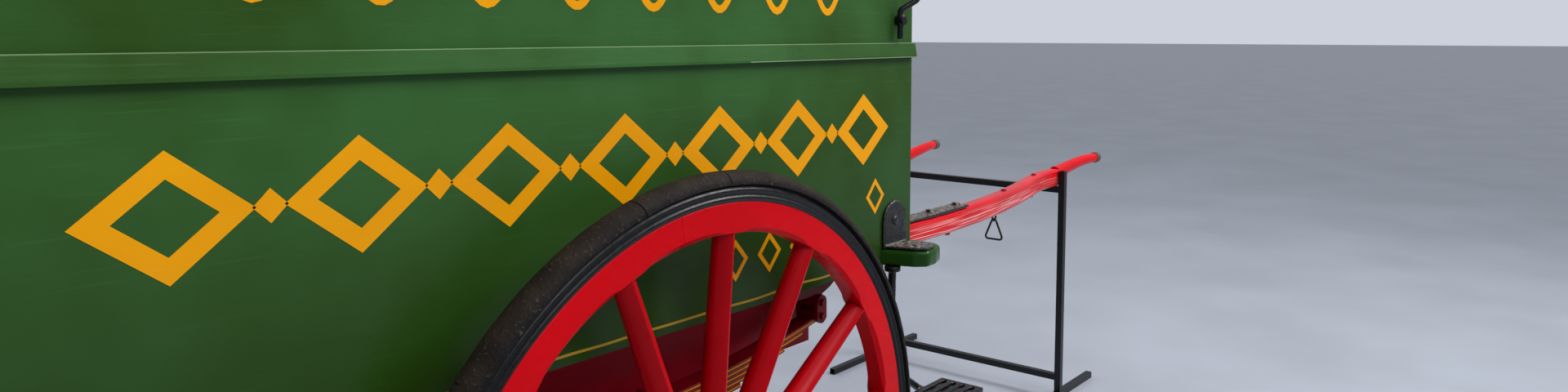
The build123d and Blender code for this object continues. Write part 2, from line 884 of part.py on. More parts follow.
def footboard_face():
    """The footboard's plan, with an ear beyond each side of the body and a narrower front."""
    front_half = body_half_width - footboard_front_inset
    right = [(footboard_rear_x + forward, -body_half_width - out) for forward, out in footboard_ear]
    right.append((footboard_front_x - footboard_corner, -front_half))
    right.append((footboard_front_x, footboard_corner_in - front_half))
    left = [(x, -y) for x, y in reversed(right)]
    return make_face(Polyline(*right, *left, close=True))


def footboard_blank():
    return Pos(0, 0, footboard_bottom_z) * extrude(footboard_face(), footboard_thick, dir=(0, 0, 1))


def footboard():
    board = footboard_blank()
    return chamfer(board.faces().sort_by(Axis.Z)[-1].edges(), footboard_edge)


def corner_iron():
    """An angle bracket: a round-topped leaf on the side and a foot on the footboard."""
    half = corner_iron_width / 2
    x = body_front_x - corner_iron_inset
    y = -body_half_width
    outer = y - corner_iron_thick
    dome_z = footboard_top_z + corner_iron_height - half
    leaf = block(x - half, x + half, outer, y, footboard_top_z, dome_z)
    leaf += Pos(x, (outer + y) / 2, dome_z) * Rot(90, 0, 0) * Cylinder(half, corner_iron_thick)
    foot_top = footboard_top_z + corner_iron_thick
    reach = 2 * body_half_width
    keep = block(x - half, x + half, -reach, y, footboard_top_z, foot_top)
    inset = offset(footboard_face(), -corner_iron_edge_gap)
    foot = Pos(0, 0, footboard_top_z) * extrude(inset, corner_iron_thick, dir=(0, 0, 1))
    return leaf + (foot & keep)


def step_iron():
    top = footboard_bottom_z
    rear = step_tread_rear_x
    front = step_tread_front_x
    inner = -step_tread_inner_y
    outer = inner - step_tread_width
    low = step_tread_z - step_tread_thick
    run_z = low - step_stem_r + step_seat
    stem = bent_rod([
        (step_x, -step_y, top),
        (step_x + step_knee, step_knee_in - step_y, top - step_knee_drop),
        (rear - step_sweep_gap, inner + step_sweep_in, step_tread_z + step_sweep_rise),
        (rear + step_run_reach, inner + step_sweep_in, run_z),
        (front - step_run_end, inner - step_tread_width / 2, run_z),
    ], step_bend_radii, step_stem_r)
    collar = Pos(step_x, -step_y, top - step_collar_height / 2) * Cylinder(step_collar_r, step_collar_height)
    tread = block(rear, front, outer, inner, low, step_tread_z)
    bar = step_tread_bar
    slot = (step_tread_width - bar * (step_slot_count + 1)) / step_slot_count
    for i in range(step_slot_count):
        y0 = outer + bar + i * (slot + bar)
        tread -= block(rear + bar, front - bar, y0, y0 + slot, low - bar, step_tread_z + bar)
    return stem + collar + tread - footboard_blank()


def lamp_iron():
    """A cranked iron on the side that carries a lamp, held by a boss."""
    y = -body_half_width - lamp_stand_off - lamp_iron_r
    stem = bent_rod([
        (lamp_x, y, lamp_bottom_z),
        (lamp_x, y, lamp_bend_z),
        (lamp_x + lamp_reach_x, y - lamp_reach_y, lamp_bend_z + lamp_reach_z),
        (lamp_x + lamp_reach_x, y - lamp_reach_y, lamp_top_z),
    ], lamp_bend_r, lamp_iron_r)
    x = lamp_x + lamp_boss_forward
    z = lamp_bottom_z + lamp_boss_rise
    boss = rod((x, -body_half_width, z), (x, y - lamp_iron_r - lamp_boss_proud, z), lamp_boss_r)
    return stem + boss


# Rear doors, the right-hand one drawn and the other mirrored
hinge_x = body_rear_x - hinge_pin_x_out
door_outer_y = side_inner_y - post_size - door_gap
hinge_y = door_outer_y + door_gap / 2
door_bottom_z = floor_top_z + door_gap
door_top_z = eaves_z - header_depth - door_gap
hinge_low_z = door_bottom_z + hinge_bottom_inset
hinge_high_z = door_top_z - hinge_top_inset
hinge_zs = (hinge_low_z, (hinge_low_z + hinge_high_z) / 2, hinge_high_z)


def door():
    inner_y = door_middle_gap / 2
    leaf = block(body_rear_x, body_rear_x + door_thick, -door_outer_y, -inner_y, door_bottom_z, door_top_z)
    # Columns: bottom and top of each sunk panel
    panels = (
        (door_bottom_z + panel_border, rail_bottom_z - panel_border / 2),
        (rail_top_z + panel_border / 2, door_top_z - panel_border),
    )
    for low, high in panels:
        for x in (body_rear_x, body_rear_x + door_thick):
            leaf -= block(x - panel_recess, x + panel_recess, -door_outer_y + panel_border,
                          -inner_y - panel_border, low, high)
    rail = block(body_rear_x - rail_top_stand_out, body_rear_x, -door_outer_y + 2 * hinge_strap_width,
                 -inner_y, rail_bottom_z, rail_top_z)
    return leaf + rail


def door_hinges():
    """Strap hinges on the door, each ending in a bored knuckle."""
    hinges = []
    half = hinge_strap_width / 2
    for z in hinge_zs:
        strap = block(body_rear_x - hinge_strap_thick, body_rear_x, -door_outer_y,
                      -door_outer_y + hinge_strap_length, z - half, z + half)
        web = block(hinge_x, body_rear_x, -hinge_y + hinge_web_gap, -door_outer_y + hinge_web_reach,
                    z - half, z + half)
        knuckle = Pos(hinge_x, -hinge_y, z) * Cylinder(hinge_knuckle_r, hinge_strap_width)
        bore = Pos(hinge_x, -hinge_y, z) * Cylinder(hinge_pin_r + hinge_clearance, 2 * hinge_strap_width)
        hinges.append(strap + web + knuckle - bore)
    return hinges


def hinge_pins():
    """Hook pins on the rear posts that the door hinges turn on."""
    pins = []
    half = hinge_strap_width / 2
    arm_inner = -hinge_y - hinge_web_gap
    arm = hinge_arm_half_thick
    for z in hinge_zs:
        seat = z - half - hinge_seat_gap
        low = seat - hinge_lug_height
        pin = rod((hinge_x, -hinge_y, seat - hinge_pin_drop), (hinge_x, -hinge_y, z + half + hinge_pin_rise),
                  hinge_pin_r)
        pin += rod((hinge_x, -hinge_y, low), (hinge_x, -hinge_y, seat), hinge_knuckle_r)
        pin += block(hinge_x - arm, body_rear_x, arm_inner - hinge_arm_width, arm_inner, low, seat)
        pin += block(body_rear_x - hinge_strap_thick, body_rear_x, hinge_plate_inset - side_inner_y,
                     -hinge_y - hinge_plate_gap, low - hinge_web_gap, z + half)
        pins.append(pin)
    return pins


def door_handle():
    y = -door_middle_gap / 2 - handle_from_middle
    z = rail_bottom_z - handle_under_rail
    x = body_rear_x
    width = handle_plate_width / 2
    height = handle_plate_height / 2
    plate = block(x - handle_plate_thick, x, y - width, y + width, z - height, z + height)
    lever = bent_rod([(x, y, z), (x - handle_reach, y, z), (x - handle_reach, y - handle_grip, z)],
                     handle_bend_r, handle_r)
    return plate + lever


# Stand
def stand():
    half = tube / 2
    inside = half - tube_wall
    rear = stand_x - foot_rear_reach
    front = stand_x + foot_front_reach
    upright_top_z = shaft_pinch_bottom_z + upright_rise
    frame = None
    for y in (upright_right_y, upright_left_y):
        foot = block(rear, front, y - half, y + half, 0, tube)
        foot -= block(rear - tube, front + tube, y - inside, y + inside, tube_wall, tube - tube_wall)
        upright = block(stand_x - half, stand_x + half, y - half, y + half, tube, upright_top_z)
        upright -= block(stand_x - inside, stand_x + inside, y - inside, y + inside,
                         tube, upright_top_z + tube)
        pair = foot + upright
        frame = pair if frame is None else frame + pair
    y0 = upright_right_y + half
    y1 = upright_left_y - half
    for low in (tie_bottom_z, shaft_pinch_bottom_z - tube):
        bar = block(stand_x - half, stand_x + half, y0, y1, low, low + tube)
        bar -= block(stand_x - inside, stand_x + inside, y0 - tube, y1 + tube,
                     low + tube_wall, low + tube - tube_wall)
        frame += bar
    return frame


def main():
    os.makedirs("parts", exist_ok=True)
    for word, side in (("right", -1), ("left", 1)):
        place = wheel_plane(side).location
        for name, solids in wheel_pieces.items():
            save(f"{name}_{word}", *[place * solid for solid in solids])
    side_right, side_left = both_sides(side_panel())
    save("side_right", side_right)
    save("side_left", side_left)
    spring_right, spring_left = both_sides(spring())
    save("spring_right", spring_right)
    save("spring_left", spring_left)
    save("spring_hangers", *both_sides(spring_hanger(1)), *both_sides(spring_hanger(-1)))
    save("axle", axle())
    save("axle_pads", *both_sides(axle_pad()))
    save("spring_clips", *both_sides(spring_clips()))
    save("shafts", *both_sides(shaft()))
    save("shaft_tips", *both_sides(shaft_tip()))
    save("shaft_plates", *both_sides(shaft_plate()))
    links = []
    for piece in trace_link():
        links += both_sides(piece)
    save("trace_links", *links)
    save("sole_bars", *both_sides(sole_bar()))
    save("floor_bearers", *floor_bearers())
    save("floor", floor())
    save("footboard", footboard())
    save("roof", roof())
    save("bulkhead", bulkhead())
    save("rear_frame", rear_frame())
    save("front_header", front_header())
    save("front_posts", *both_sides(front_post()))
    save("belt_rails", *both_sides(belt_rail()))
    save("eaves_rails", *both_sides(eaves_rail()))
    save("tray_runners", *tray_runners())
    save("bench", bench())
    save("corner_irons", *both_sides(corner_iron()))
    save("step_irons", *both_sides(step_iron()))
    save("lamp_irons", *both_sides(lamp_iron()))
    save("stand", stand())
    door_right, door_left = both_sides(door())
    save("door_right", door_right)
    save("door_left", door_left)
    hinges = door_hinges()
    save("door_hinges_right", *hinges)
    save("door_hinges_left", *[mirror(hinge, about=Plane.XZ) for hinge in hinges])
    pins = hinge_pins()
    save("hinge_pins", *pins, *[mirror(pin, about=Plane.XZ) for pin in pins])
    save("door_handle", door_handle())


if __name__ == "__main__":
    main()
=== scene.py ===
import json
from math import atan2, cos, pi, radians, sin, sqrt, tau

import bmesh
import bpy
from mathutils import Matrix, Vector, noise


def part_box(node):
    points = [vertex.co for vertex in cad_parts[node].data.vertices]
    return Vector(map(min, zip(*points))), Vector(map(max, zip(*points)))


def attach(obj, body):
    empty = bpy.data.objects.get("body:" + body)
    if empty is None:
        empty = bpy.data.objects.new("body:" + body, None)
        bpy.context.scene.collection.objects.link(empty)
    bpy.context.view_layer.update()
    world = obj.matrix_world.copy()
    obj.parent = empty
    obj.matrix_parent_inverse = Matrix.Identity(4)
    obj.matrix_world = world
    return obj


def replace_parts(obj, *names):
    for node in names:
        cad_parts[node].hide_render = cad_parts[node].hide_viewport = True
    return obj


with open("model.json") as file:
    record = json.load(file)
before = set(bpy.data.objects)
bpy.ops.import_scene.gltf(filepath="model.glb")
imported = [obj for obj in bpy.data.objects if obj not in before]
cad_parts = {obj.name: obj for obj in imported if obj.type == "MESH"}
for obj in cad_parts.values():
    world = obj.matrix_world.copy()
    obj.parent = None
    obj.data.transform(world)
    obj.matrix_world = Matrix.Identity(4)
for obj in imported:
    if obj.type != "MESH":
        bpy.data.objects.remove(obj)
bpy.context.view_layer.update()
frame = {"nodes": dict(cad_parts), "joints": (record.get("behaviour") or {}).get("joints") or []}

# Camera, daylight and floor. The camera stands behind the right wheel at eye height and looks
# forward along the body and the shafts. Large soft windows light the wagon from its front right.
axle_low, axle_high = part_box("axle")
axle_x = (axle_low.x + axle_high.x) / 2
photo_width_px = 1920
focal_px = 1239.9
principal_above_middle_px = 99.84
film_width = 36
camera_place = (axle_x - 1.240, -2.125, 1.500)
camera_heading = radians(39.23)
camera_pitch = radians(4.565)

camera_data = bpy.data.cameras.new("camera")
camera_data.sensor_width = film_width
camera_data.lens = film_width * focal_px / photo_width_px
camera_data.shift_y = -principal_above_middle_px / photo_width_px


def put_in_scene(name, data):
    """A new object with its data, linked to the scene."""
    item = bpy.data.objects.new(name, data)
    bpy.context.scene.collection.objects.link(item)
    return item


camera = put_in_scene("camera", camera_data)
camera.location = camera_place
camera.rotation_euler = (pi / 2 - camera_pitch, 0, camera_heading - pi / 2)
bpy.context.scene.camera = camera
bpy.context.scene.view_settings.view_transform = "Standard"


def soft_window(name, place, aim, width, height, watts, colour):
    """A rectangular lamp, turned from its place towards a point, both given from the axle."""
    start = Vector((axle_x + place[0], place[1], place[2]))
    end = Vector((axle_x + aim[0], aim[1], aim[2]))
    data = bpy.data.lights.new(name, "AREA")
    data.shape = "RECTANGLE"
    data.size = width
    data.size_y = height
    data.energy = watts
    data.color = colour
    lamp = put_in_scene(name, data)
    lamp.location = start
    lamp.rotation_euler = (end - start).to_track_quat("-Z", "Y").to_euler()


# Windows: name, place, aim, width, height, watts, colour
windows = (
    ("front_window", (4.4, -3.6, 5.2), (0.4, -0.8, 1.0), 3.2, 2.4, 300, (1.0, 0.99, 0.97)),
    ("side_window", (-1.0, -6.0, 5.6), (0, -0.8, 1.0), 3.5, 2.0, 150, (0.96, 0.98, 1.0)),
    ("far_window", (2.0, 6.0, 4.5), (1.0, 0, 1.0), 4.0, 2.0, 120, (1.0, 1.0, 1.0)),
)
for window in windows:
    soft_window(*window)
roof_light_strength = 0.9
roof_light_spread = radians(60)
roof_light_lean = (radians(12), radians(14), 0)
roof_light = bpy.data.lights.new("roof_light", "SUN")
roof_light.energy = roof_light_strength
roof_light.angle = roof_light_spread
put_in_scene("roof_light", roof_light).rotation_euler = roof_light_lean


def linear(hex_colour):
    """An sRGB hex colour as linear red, green, blue and alpha."""
    channels = [int(hex_colour[i:i + 2], 16) / 255 for i in (0, 2, 4)]
    return [c / 12.92 if c <= 0.04045 else ((c + 0.055) / 1.055) ** 2.4 for c in channels] + [1]


def set_inputs(tree, node, inputs):
    """Sets inputs of a node, each to a value or to another node's output."""
    for key, value in inputs.items():
        if isinstance(value, bpy.types.NodeSocket):
            tree.links.new(value, node.inputs[key])
        else:
            node.inputs[key].default_value = value


def add_node(tree, kind, settings, inputs):
    """Adds a node with its settings and inputs."""
    node = tree.nodes.new(kind)
    for name, value in settings.items():
        setattr(node, name, value)
    set_inputs(tree, node, inputs)
    return node


# The share of the white room that shows in the gloss of the paint
gloss_share = 0.25
white_room_strength = 1.0
room_light_strength = 0.40
daylight = bpy.data.worlds.new("daylight")
bpy.context.scene.world = daylight
daylight.use_nodes = True
sky = daylight.node_tree
sky.nodes.clear()
seen = add_node(sky, "ShaderNodeLightPath", {}, {})
plain = add_node(sky, "ShaderNodeMath", {"operation": "MAXIMUM"}, {
    0: seen.outputs["Is Camera Ray"], 1: seen.outputs["Is Transmission Ray"]})
shiny = add_node(sky, "ShaderNodeMath", {"operation": "MULTIPLY_ADD"}, {
    0: seen.outputs["Is Glossy Ray"], 1: gloss_share, 2: plain.outputs[0]})
white_room = add_node(sky, "ShaderNodeBackground", {}, {
    "Color": linear("CDD1DB"), "Strength": white_room_strength})
room_light = add_node(sky, "ShaderNodeBackground", {}, {
    "Color": linear("D6DCE6"), "Strength": room_light_strength})
room = add_node(sky, "ShaderNodeMixShader", {}, {
    0: shiny.outputs[0], 1: room_light.outputs[0], 2: white_room.outputs[0]})
add_node(sky, "ShaderNodeOutputWorld", {}, {"Surface": room.outputs[0]})


def start_material(name):
    """An empty material and its surface shader."""
    material = bpy.data.materials.new(name)
    material.use_nodes = True
    return material, material.node_tree, material.node_tree.nodes["Principled BSDF"]


# The parts of the noise's range that show as soft patches, plain and wide
even_patches = (0.35, 0.65)
wide_patches = (0.3, 0.7)
noise_roughness = 0.55
plain_ior = 1.5


def own_place(tree):
    """The place on the piece, in metres of its own frame."""
    return add_node(tree, "ShaderNodeTexCoord", {}, {}).outputs["Object"]


def mottle(tree, size, stretch=(1, 1, 1), detail=3):
    """Soft random patches about as wide as size."""
    scaled = add_node(tree, "ShaderNodeMapping", {}, {
        "Vector": own_place(tree), "Scale": [1 / (size * s) for s in stretch]})
    patches = add_node(tree, "ShaderNodeTexNoise", {}, {
        "Vector": scaled.outputs[0], "Scale": 1.0, "Detail": detail, "Roughness": noise_roughness})
    return patches.outputs[0]


def spread(tree, value, low, high, to_low=0.0, to_high=1.0):
    """The range low to high of a value, stretched over to_low to to_high."""
    node = add_node(tree, "ShaderNodeMapRange", {"clamp": True}, {
        "Value": value, "From Min": low, "From Max": high, "To Min": to_low, "To Max": to_high})
    return node.outputs[0]


def mixed(tree, share, first, second):
    """Two colours mixed by a share."""
    node = add_node(tree, "ShaderNodeMix", {"data_type": "RGBA"}, {0: share, 6: first, 7: second})
    return node.outputs[2]


def product(tree, first, second):
    """One value times another."""
    return add_node(tree, "ShaderNodeMath", {"operation": "MULTIPLY"}, {0: first, 1: second}).outputs[0]


def relief(tree, shader, layers):
    """Bumps the surface by several (height, depth in metres) layers."""
    normal = None
    for height, depth in layers:
        inputs = {"Height": height, "Distance": depth, "Strength": 1.0}
        if normal is not None:
            inputs["Normal"] = normal
        normal = add_node(tree, "ShaderNodeBump", {}, inputs).outputs[0]
    set_inputs(tree, shader, {"Normal": normal})


def painted_concrete():
    """Pale grey floor paint on concrete: faint clouds and hair cracks, and a soft sheen."""
    material, tree, shader = start_material("painted_concrete")
    cloud_size = 0.9
    cracks_per_metre = 0.7
    hair_width = 0.004
    hair_share = 0.25
    grit_size = 0.02
    grit_depth = 0.0003
    roughness = 0.40
    clouds = spread(tree, mottle(tree, cloud_size, (1, 1, 1), 5), *even_patches)
    colour = mixed(tree, clouds, linear("9BA1AB"), linear("A5ABB6"))
    cracks = add_node(tree, "ShaderNodeTexVoronoi", {"feature": "DISTANCE_TO_EDGE"}, {
        "Scale": cracks_per_metre})
    hair = spread(tree, cracks.outputs["Distance"], 0.0, hair_width, hair_share, 0.0)
    colour = mixed(tree, hair, colour, linear("747984"))
    set_inputs(tree, shader, {"Base Color": colour, "Roughness": roughness, "IOR": plain_ior})
    relief(tree, shader, [(mottle(tree, grit_size), grit_depth)])
    return material


floor_half = 150
floor_mesh = bpy.data.meshes.new("floor_slab")
floor_corners = [(x * floor_half, y * floor_half, 0) for x, y in ((-1, -1), (1, -1), (1, 1), (-1, 1))]
floor_mesh.from_pydata(floor_corners, [], [(0, 1, 2, 3)])
floor_mesh.materials.append(painted_concrete())
floor_slab = put_in_scene("floor_slab", floor_mesh)

# Felloes: seven bent ash segments make the rim of each wheel. Their inner edges are chamfered
# between the spokes, and the whole rim has a gloss red coach enamel.
felloe_outer_r = 0.5815
felloe_inner_r = 0.5275
felloe_half = 0.023
felloe_count = 7
felloe_chamfer_r = 0.009
felloe_chamfer_depth = 0.007
felloe_worn_edge = 0.0012
felloe_joint = 0.0007
# The chamfer between two spokes: shares of their pitch left square and eased, and its fullness
square_share = 0.06
ease_share = 0.12
chamfer_fullness = 0.45
spoke_count = 14
first_spoke = radians(86.8)
wheel_words = ("right", "left")
sides = ((-1, "right"), (1, "left"))


def coach_enamel(name, main, shade, streak, brush, roughness, ripple=0.00012, streak_share=0.2,
                 gloss=0.2, foot_shade_colour=None, foot_shade_from=1.0, foot_shade_to=1.4):
    """Gloss oil enamel laid on wood with a brush.

    It shows as a deep even colour with slow clouds, fine brush ripples along the work and
    thin paler streaks where the gloss has dulled. brush gives the stretch of its strokes.
    The colour given for the foot, if any, is painted shade that darkens the panels towards their foot.
    """
    cloud_size = 0.35
    stroke_size = 0.004
    streak_size = 0.006
    streak_range = (0.60, 0.80)
    foot_shade_share = 0.85
    dull_size = 0.05
    dulling = 0.10
    wave_size = 0.06
    wave_depth = 0.0006
    oil_ior = 1.45
    material, tree, shader = start_material(name)
    clouds = spread(tree, mottle(tree, cloud_size), *even_patches)
    strokes = mottle(tree, stroke_size, brush, 2)
    colour = mixed(tree, clouds, linear(main), linear(shade))
    streaks = spread(tree, mottle(tree, streak_size, brush, 4), *streak_range, 0.0, streak_share)
    colour = mixed(tree, streaks, colour, linear(streak))
    # Painted shade: the colour darkens towards the foot of the piece.
    if foot_shade_colour:
        height = add_node(tree, "ShaderNodeSeparateXYZ", {}, {0: own_place(tree)})
        foot = spread(tree, height.outputs[2], foot_shade_from, foot_shade_to, foot_shade_share, 0.0)
        colour = mixed(tree, foot, colour, linear(foot_shade_colour))
    dull = spread(tree, mottle(tree, dull_size), *wide_patches, roughness, roughness + dulling)
    set_inputs(tree, shader, {
        "Base Color": colour, "Roughness": dull, "IOR": oil_ior, "Specular IOR Level": gloss})
    relief(tree, shader, [(mottle(tree, wave_size), wave_depth), (strokes, ripple)])
    return material


def make_piece(name, shape, materials, body, place=None, sharp=35):
    """A mesh piece from points, faces and each face's material number, riding on a body."""
    points, faces, marks = shape
    mesh = bpy.data.meshes.new(name)
    mesh.from_pydata(points, [], faces)
    for material in materials:
        mesh.materials.append(material)
    mesh.polygons.foreach_set("material_index", marks)
    sculpt = bmesh.new()
    sculpt.from_mesh(mesh)
    bmesh.ops.recalc_face_normals(sculpt, faces=sculpt.faces)
    sculpt.to_mesh(mesh)
    sculpt.free()
    mesh.shade_smooth()
    mesh.set_sharp_from_angle(angle=radians(sharp))
    piece = put_in_scene(name, mesh)
    if place is not None:
        piece.matrix_world = place
    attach(piece, body)
    return piece


def joined(shapes):
    """Several shapes as one."""
    points, faces, marks = [], [], []
    for part_points, part_faces, part_marks in shapes:
        start = len(points)
        points += [tuple(point) for point in part_points]
        faces += [tuple(start + i for i in face) for face in part_faces]
        marks += part_marks
    return points, faces, marks


def skinned(rings, closed=False, ring_marks=None):
    """A skin over rings of as many points each, closed into a loop or else capped at both ends."""
    count = len(rings[0])
    points = [tuple(point) for ring in rings for point in ring]
    faces, marks = [], []
    spans = len(rings) if closed else len(rings) - 1
    for i in range(spans):
        a = i * count
        b = (i + 1) % len(rings) * count
        for j in range(count):
            k = (j + 1) % count
            faces.append((a + j, a + k, b + k, b + j))
            marks.append(ring_marks[j] if ring_marks else 0)
    if not closed:
        last = (len(rings) - 1) * count
        faces.append(tuple(range(count - 1, -1, -1)))
        faces.append(tuple(last + j for j in range(count)))
        marks += [0, 0]
    return points, faces, marks


def wheel_place(word):
    """The wheel's own frame: its origin in the middle of the rim, Z out along the axle."""
    joint = next(j for j in frame["joints"] if j["child"] == "wheel_" + word)
    outward = Vector(joint["axis"]) * (1 if word == "left" else -1)
    ahead = Vector((1, 0, 0))
    turn = Matrix((ahead, outward.cross(ahead), outward)).transposed().to_4x4()
    return Matrix.Translation(joint["pos_m"]) @ turn


def mirrored(half):
    """Points (radius, height) followed by their mirror images, back to the start."""
    return half + [(r, -h) for r, h in reversed(half)]


def put_on_wheels(name, node, shape, material, sharp):
    """The same piece on both wheels, in place of what the CAD has there."""
    for word in wheel_words:
        place = wheel_place(word)
        piece = make_piece(f"{name}_{word}", shape, [material], f"wheel_{word}", place, sharp)
        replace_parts(piece, f"{node}_{word}")


def ease(t):
    """Goes smoothly from 0 to 1."""
    return t * t * (3 - 2 * t)


def evenly(first, last, steps):
    """Evenly spaced values from first to last."""
    return [first + (last - first) * i / steps for i in range(steps + 1)]


def swung(section, angle):
    """Points (radius, height) swung to an angle round Z."""
    return [(r * cos(angle), r * sin(angle), h) for r, h in section]


def felloe_segments():
    """The seven segments of a rim, each with a hair of a joint to the next."""
    segment_steps = 72
    pitch = tau / felloe_count
    spoke_pitch = tau / spoke_count
    start = first_spoke + spoke_pitch / 2
    gap = felloe_joint / felloe_inner_r / 2
    segments = []
    for i in range(felloe_count):
        rings = []
        for step in range(segment_steps + 1):
            angle = start + i * pitch + gap + (pitch - 2 * gap) * step / segment_steps
            share = ((angle - first_spoke) / spoke_pitch) % 1
            from_spoke = min(share, 1 - share)
            swell = max(0, sin(pi * share)) ** chamfer_fullness if from_spoke > square_share else 0
            easing = min(1, max(0, (from_spoke - square_share) / ease_share))
            amount = swell * ease(easing)
            across = max(felloe_worn_edge, felloe_chamfer_r * amount)
            depth = max(felloe_worn_edge, felloe_chamfer_depth * amount)
            inner = [(felloe_inner_r + across, felloe_half), (felloe_inner_r, felloe_half - depth)]
            outer = [(felloe_outer_r - felloe_worn_edge, -felloe_half),
                     (felloe_outer_r, felloe_worn_edge - felloe_half)]
            rings.append(swung(mirrored(inner) + mirrored(outer), angle))
        segments.append(skinned(rings))
    return joined(segments)


red_enamel = coach_enamel("red_enamel_brushed", "D4000F", "C2000E", "D41828", (8, 8, 1), 0.24, 0.00008,
                          gloss=0.1)
put_on_wheels("felloe_rim", "felloes", felloe_segments(), red_enamel, sharp=20)

# Spokes: fourteen to a wheel, cleft from oak and shaved to a ridge along the outer face and a
# round back, tenoned into nave and felloes, in the same red enamel, laid a little darker as painted shade.
nave_r = 0.100
wheel_dish = 0.005
spoke_tongue = 0.004
# Columns: radius, width round the wheel, depth along the axle
spoke_stations = (
    (nave_r - spoke_tongue, 0.038, 0.061),
    (0.130, 0.038, 0.061),
    (0.175, 0.043, 0.055),
    (0.240, 0.044, 0.053),
    (0.400, 0.043, 0.048),
    (0.500, 0.041, 0.045),
    (felloe_inner_r + spoke_tongue, 0.041, 0.044),
)
spoke_arris = 0.0007
# The outer face: shares of half the width and of half the depth
spoke_face = ((0.34, 0.84), (0.66, 0.56), (0.92, 0.22), (1, 0))


def moved(shape, matrix):
    """A shape under a matrix."""
    points, faces, marks = shape
    return [tuple(matrix @ Vector(point)) for point in points], faces, marks


def spoke():
    """One spoke along X, flat ridged outside and round inside."""
    rings = []
    back_steps = 7
    for radius, width, depth in spoke_stations:
        lean = -wheel_dish * (felloe_inner_r - radius) / (felloe_inner_r - nave_r)
        a = width / 2
        b = depth / 2
        half = [(spoke_arris, b)] + [(u * a, v * b) for u, v in spoke_face]
        for turn in evenly(0, pi / 2, back_steps)[1:-1]:
            half.append((a * cos(turn), -b * sin(turn)))
        outline = half + [(0.0, -b)] + [(-u, v) for u, v in reversed(half)]
        rings.append([(radius, u, v + lean) for u, v in outline])
    return skinned(rings)


def spokes():
    """All the spokes of a wheel."""
    turns = [first_spoke + i * tau / spoke_count for i in range(spoke_count)]
    return joined([moved(spoke(), Matrix.Rotation(turn, 4, "Z")) for turn in turns])


# The spokes' red is darker than the rim's: painted shade.
spoke_shaded_enamel = coach_enamel("red_enamel_shaved_painted_shade", "BE0010", "A8000E", "C4202E", (8, 8, 8), 0.24, 0.00008,
                            gloss=0.14)
put_on_wheels("shaved_spokes", "spokes", spokes(), spoke_shaded_enamel, sharp=28)

# Naves: turned elm barrels with a raised land where the spokes enter, painted red. Two iron
# bands are driven on their ends, and an iron cap closes each axle end.
nave_half = 0.115
nave_end_r = 0.074
nave_bore_r = 0.0245
nave_land_half = 0.032
nave_shoulder_r = 0.090
nave_shoulder_rise = 0.012
nave_belly = 0.004
nave_steps = 96
# The bead beside the land: radius, and height above the land's edge
nave_bead = ((nave_r, -0.003), (nave_r - 0.002, 0), (nave_r - 0.005, 0.002), (0.0935, 0.006),
             (0.0935, 0.009))


def turned(profile, steps):
    """A closed ring turned from (radius, height) points round Z."""
    return skinned([swung(profile, tau * i / steps) for i in range(steps)], closed=True)


def nave():
    """The barrel with its bore, pushed in by the wheel's dish."""
    shoulder = []
    swell_steps = 8
    for t in evenly(0, 1, swell_steps):
        h = nave_land_half + nave_shoulder_rise + (nave_half - nave_land_half - nave_shoulder_rise) * t
        r = nave_shoulder_r + (nave_end_r - nave_shoulder_r) * t + nave_belly * sin(pi * t)
        shoulder.append((r, h))
    upper = [(r, nave_land_half + h) for r, h in nave_bead] + shoulder
    profile = [(r, -h) for r, h in reversed(upper)] + upper
    profile = [(nave_bore_r, -nave_half)] + profile + [(nave_bore_r, nave_half)]
    return moved(turned(profile, nave_steps), Matrix.Translation((0, 0, -wheel_dish)))


put_on_wheels("turned_nave", "nave", nave(), red_enamel, sharp=30)

# Hub irons: the bands driven on the naves and the caps over the axle ends. They are forged iron
# under thick black paint, and years of handling have rubbed their edges round.
iron_edge = 0.0012


def black_iron(name, colour, roughness, lump, lump_depth, wear="34363A", worn_top_and_highlight=None, gloss=0.36):
    """Thick black gloss paint over forged iron: near black, lumpy and shiny, a little grey on top.

    The colour given for the upper faces tints pale specks there: shoe wear, and also a painted highlight
    where those faces catch the light.
    """
    worn_size = 0.02
    worn_range = (0.58, 0.78)
    worn_share = 0.35
    speck_size = 0.009
    speck_range = (0.46, 0.58)
    level_range = (0.75, 0.95)
    dull_size = 0.01
    dulling = 0.15
    fine = 4
    material, tree, shader = start_material(name)
    worn = spread(tree, mottle(tree, worn_size), *worn_range, 0.0, worn_share)
    paint = mixed(tree, worn, linear(colour), linear(wear))
    # Pale specks on upward faces: worn paint, and also a painted highlight where those faces catch the
    # light.
    if worn_top_and_highlight:
        face = add_node(tree, "ShaderNodeNewGeometry", {}, {})
        level = add_node(tree, "ShaderNodeSeparateXYZ", {}, {0: face.outputs["Normal"]})
        specks = spread(tree, mottle(tree, speck_size, (1, 1, 1), 5), *speck_range)
        top_wear_and_highlight = product(tree, specks, spread(tree, level.outputs[2], *level_range))
        paint = mixed(tree, top_wear_and_highlight, paint, linear(worn_top_and_highlight))
    dull = spread(tree, mottle(tree, dull_size), *wide_patches, roughness, roughness + dulling)
    set_inputs(tree, shader, {
        "Base Color": paint, "Roughness": dull, "IOR": plain_ior, "Specular IOR Level": gloss})
    relief(tree, shader, [(mottle(tree, lump), lump_depth), (mottle(tree, lump / fine), lump_depth / fine)])
    return material


def dress(node, paint, edge, segments=2):
    """Paints a plain CAD piece and wears its edges where faces meet at more than a slight angle."""
    slight_angle = radians(40)
    item = frame["nodes"][node]
    item.data.materials[0] = paint
    bevel = item.modifiers.new("worn_edges", "BEVEL")
    bevel.width = edge
    bevel.segments = segments
    bevel.limit_method = "ANGLE"
    bevel.angle_limit = slight_angle
    bevel.harden_normals = True
    item.data.shade_smooth()


smooth_black = black_iron("smooth_black_paint", "0B0B0C", 0.22, 0.012, 0.0002)
for word in wheel_words:
    dress(f"hub_irons_{word}", smooth_black, iron_edge)

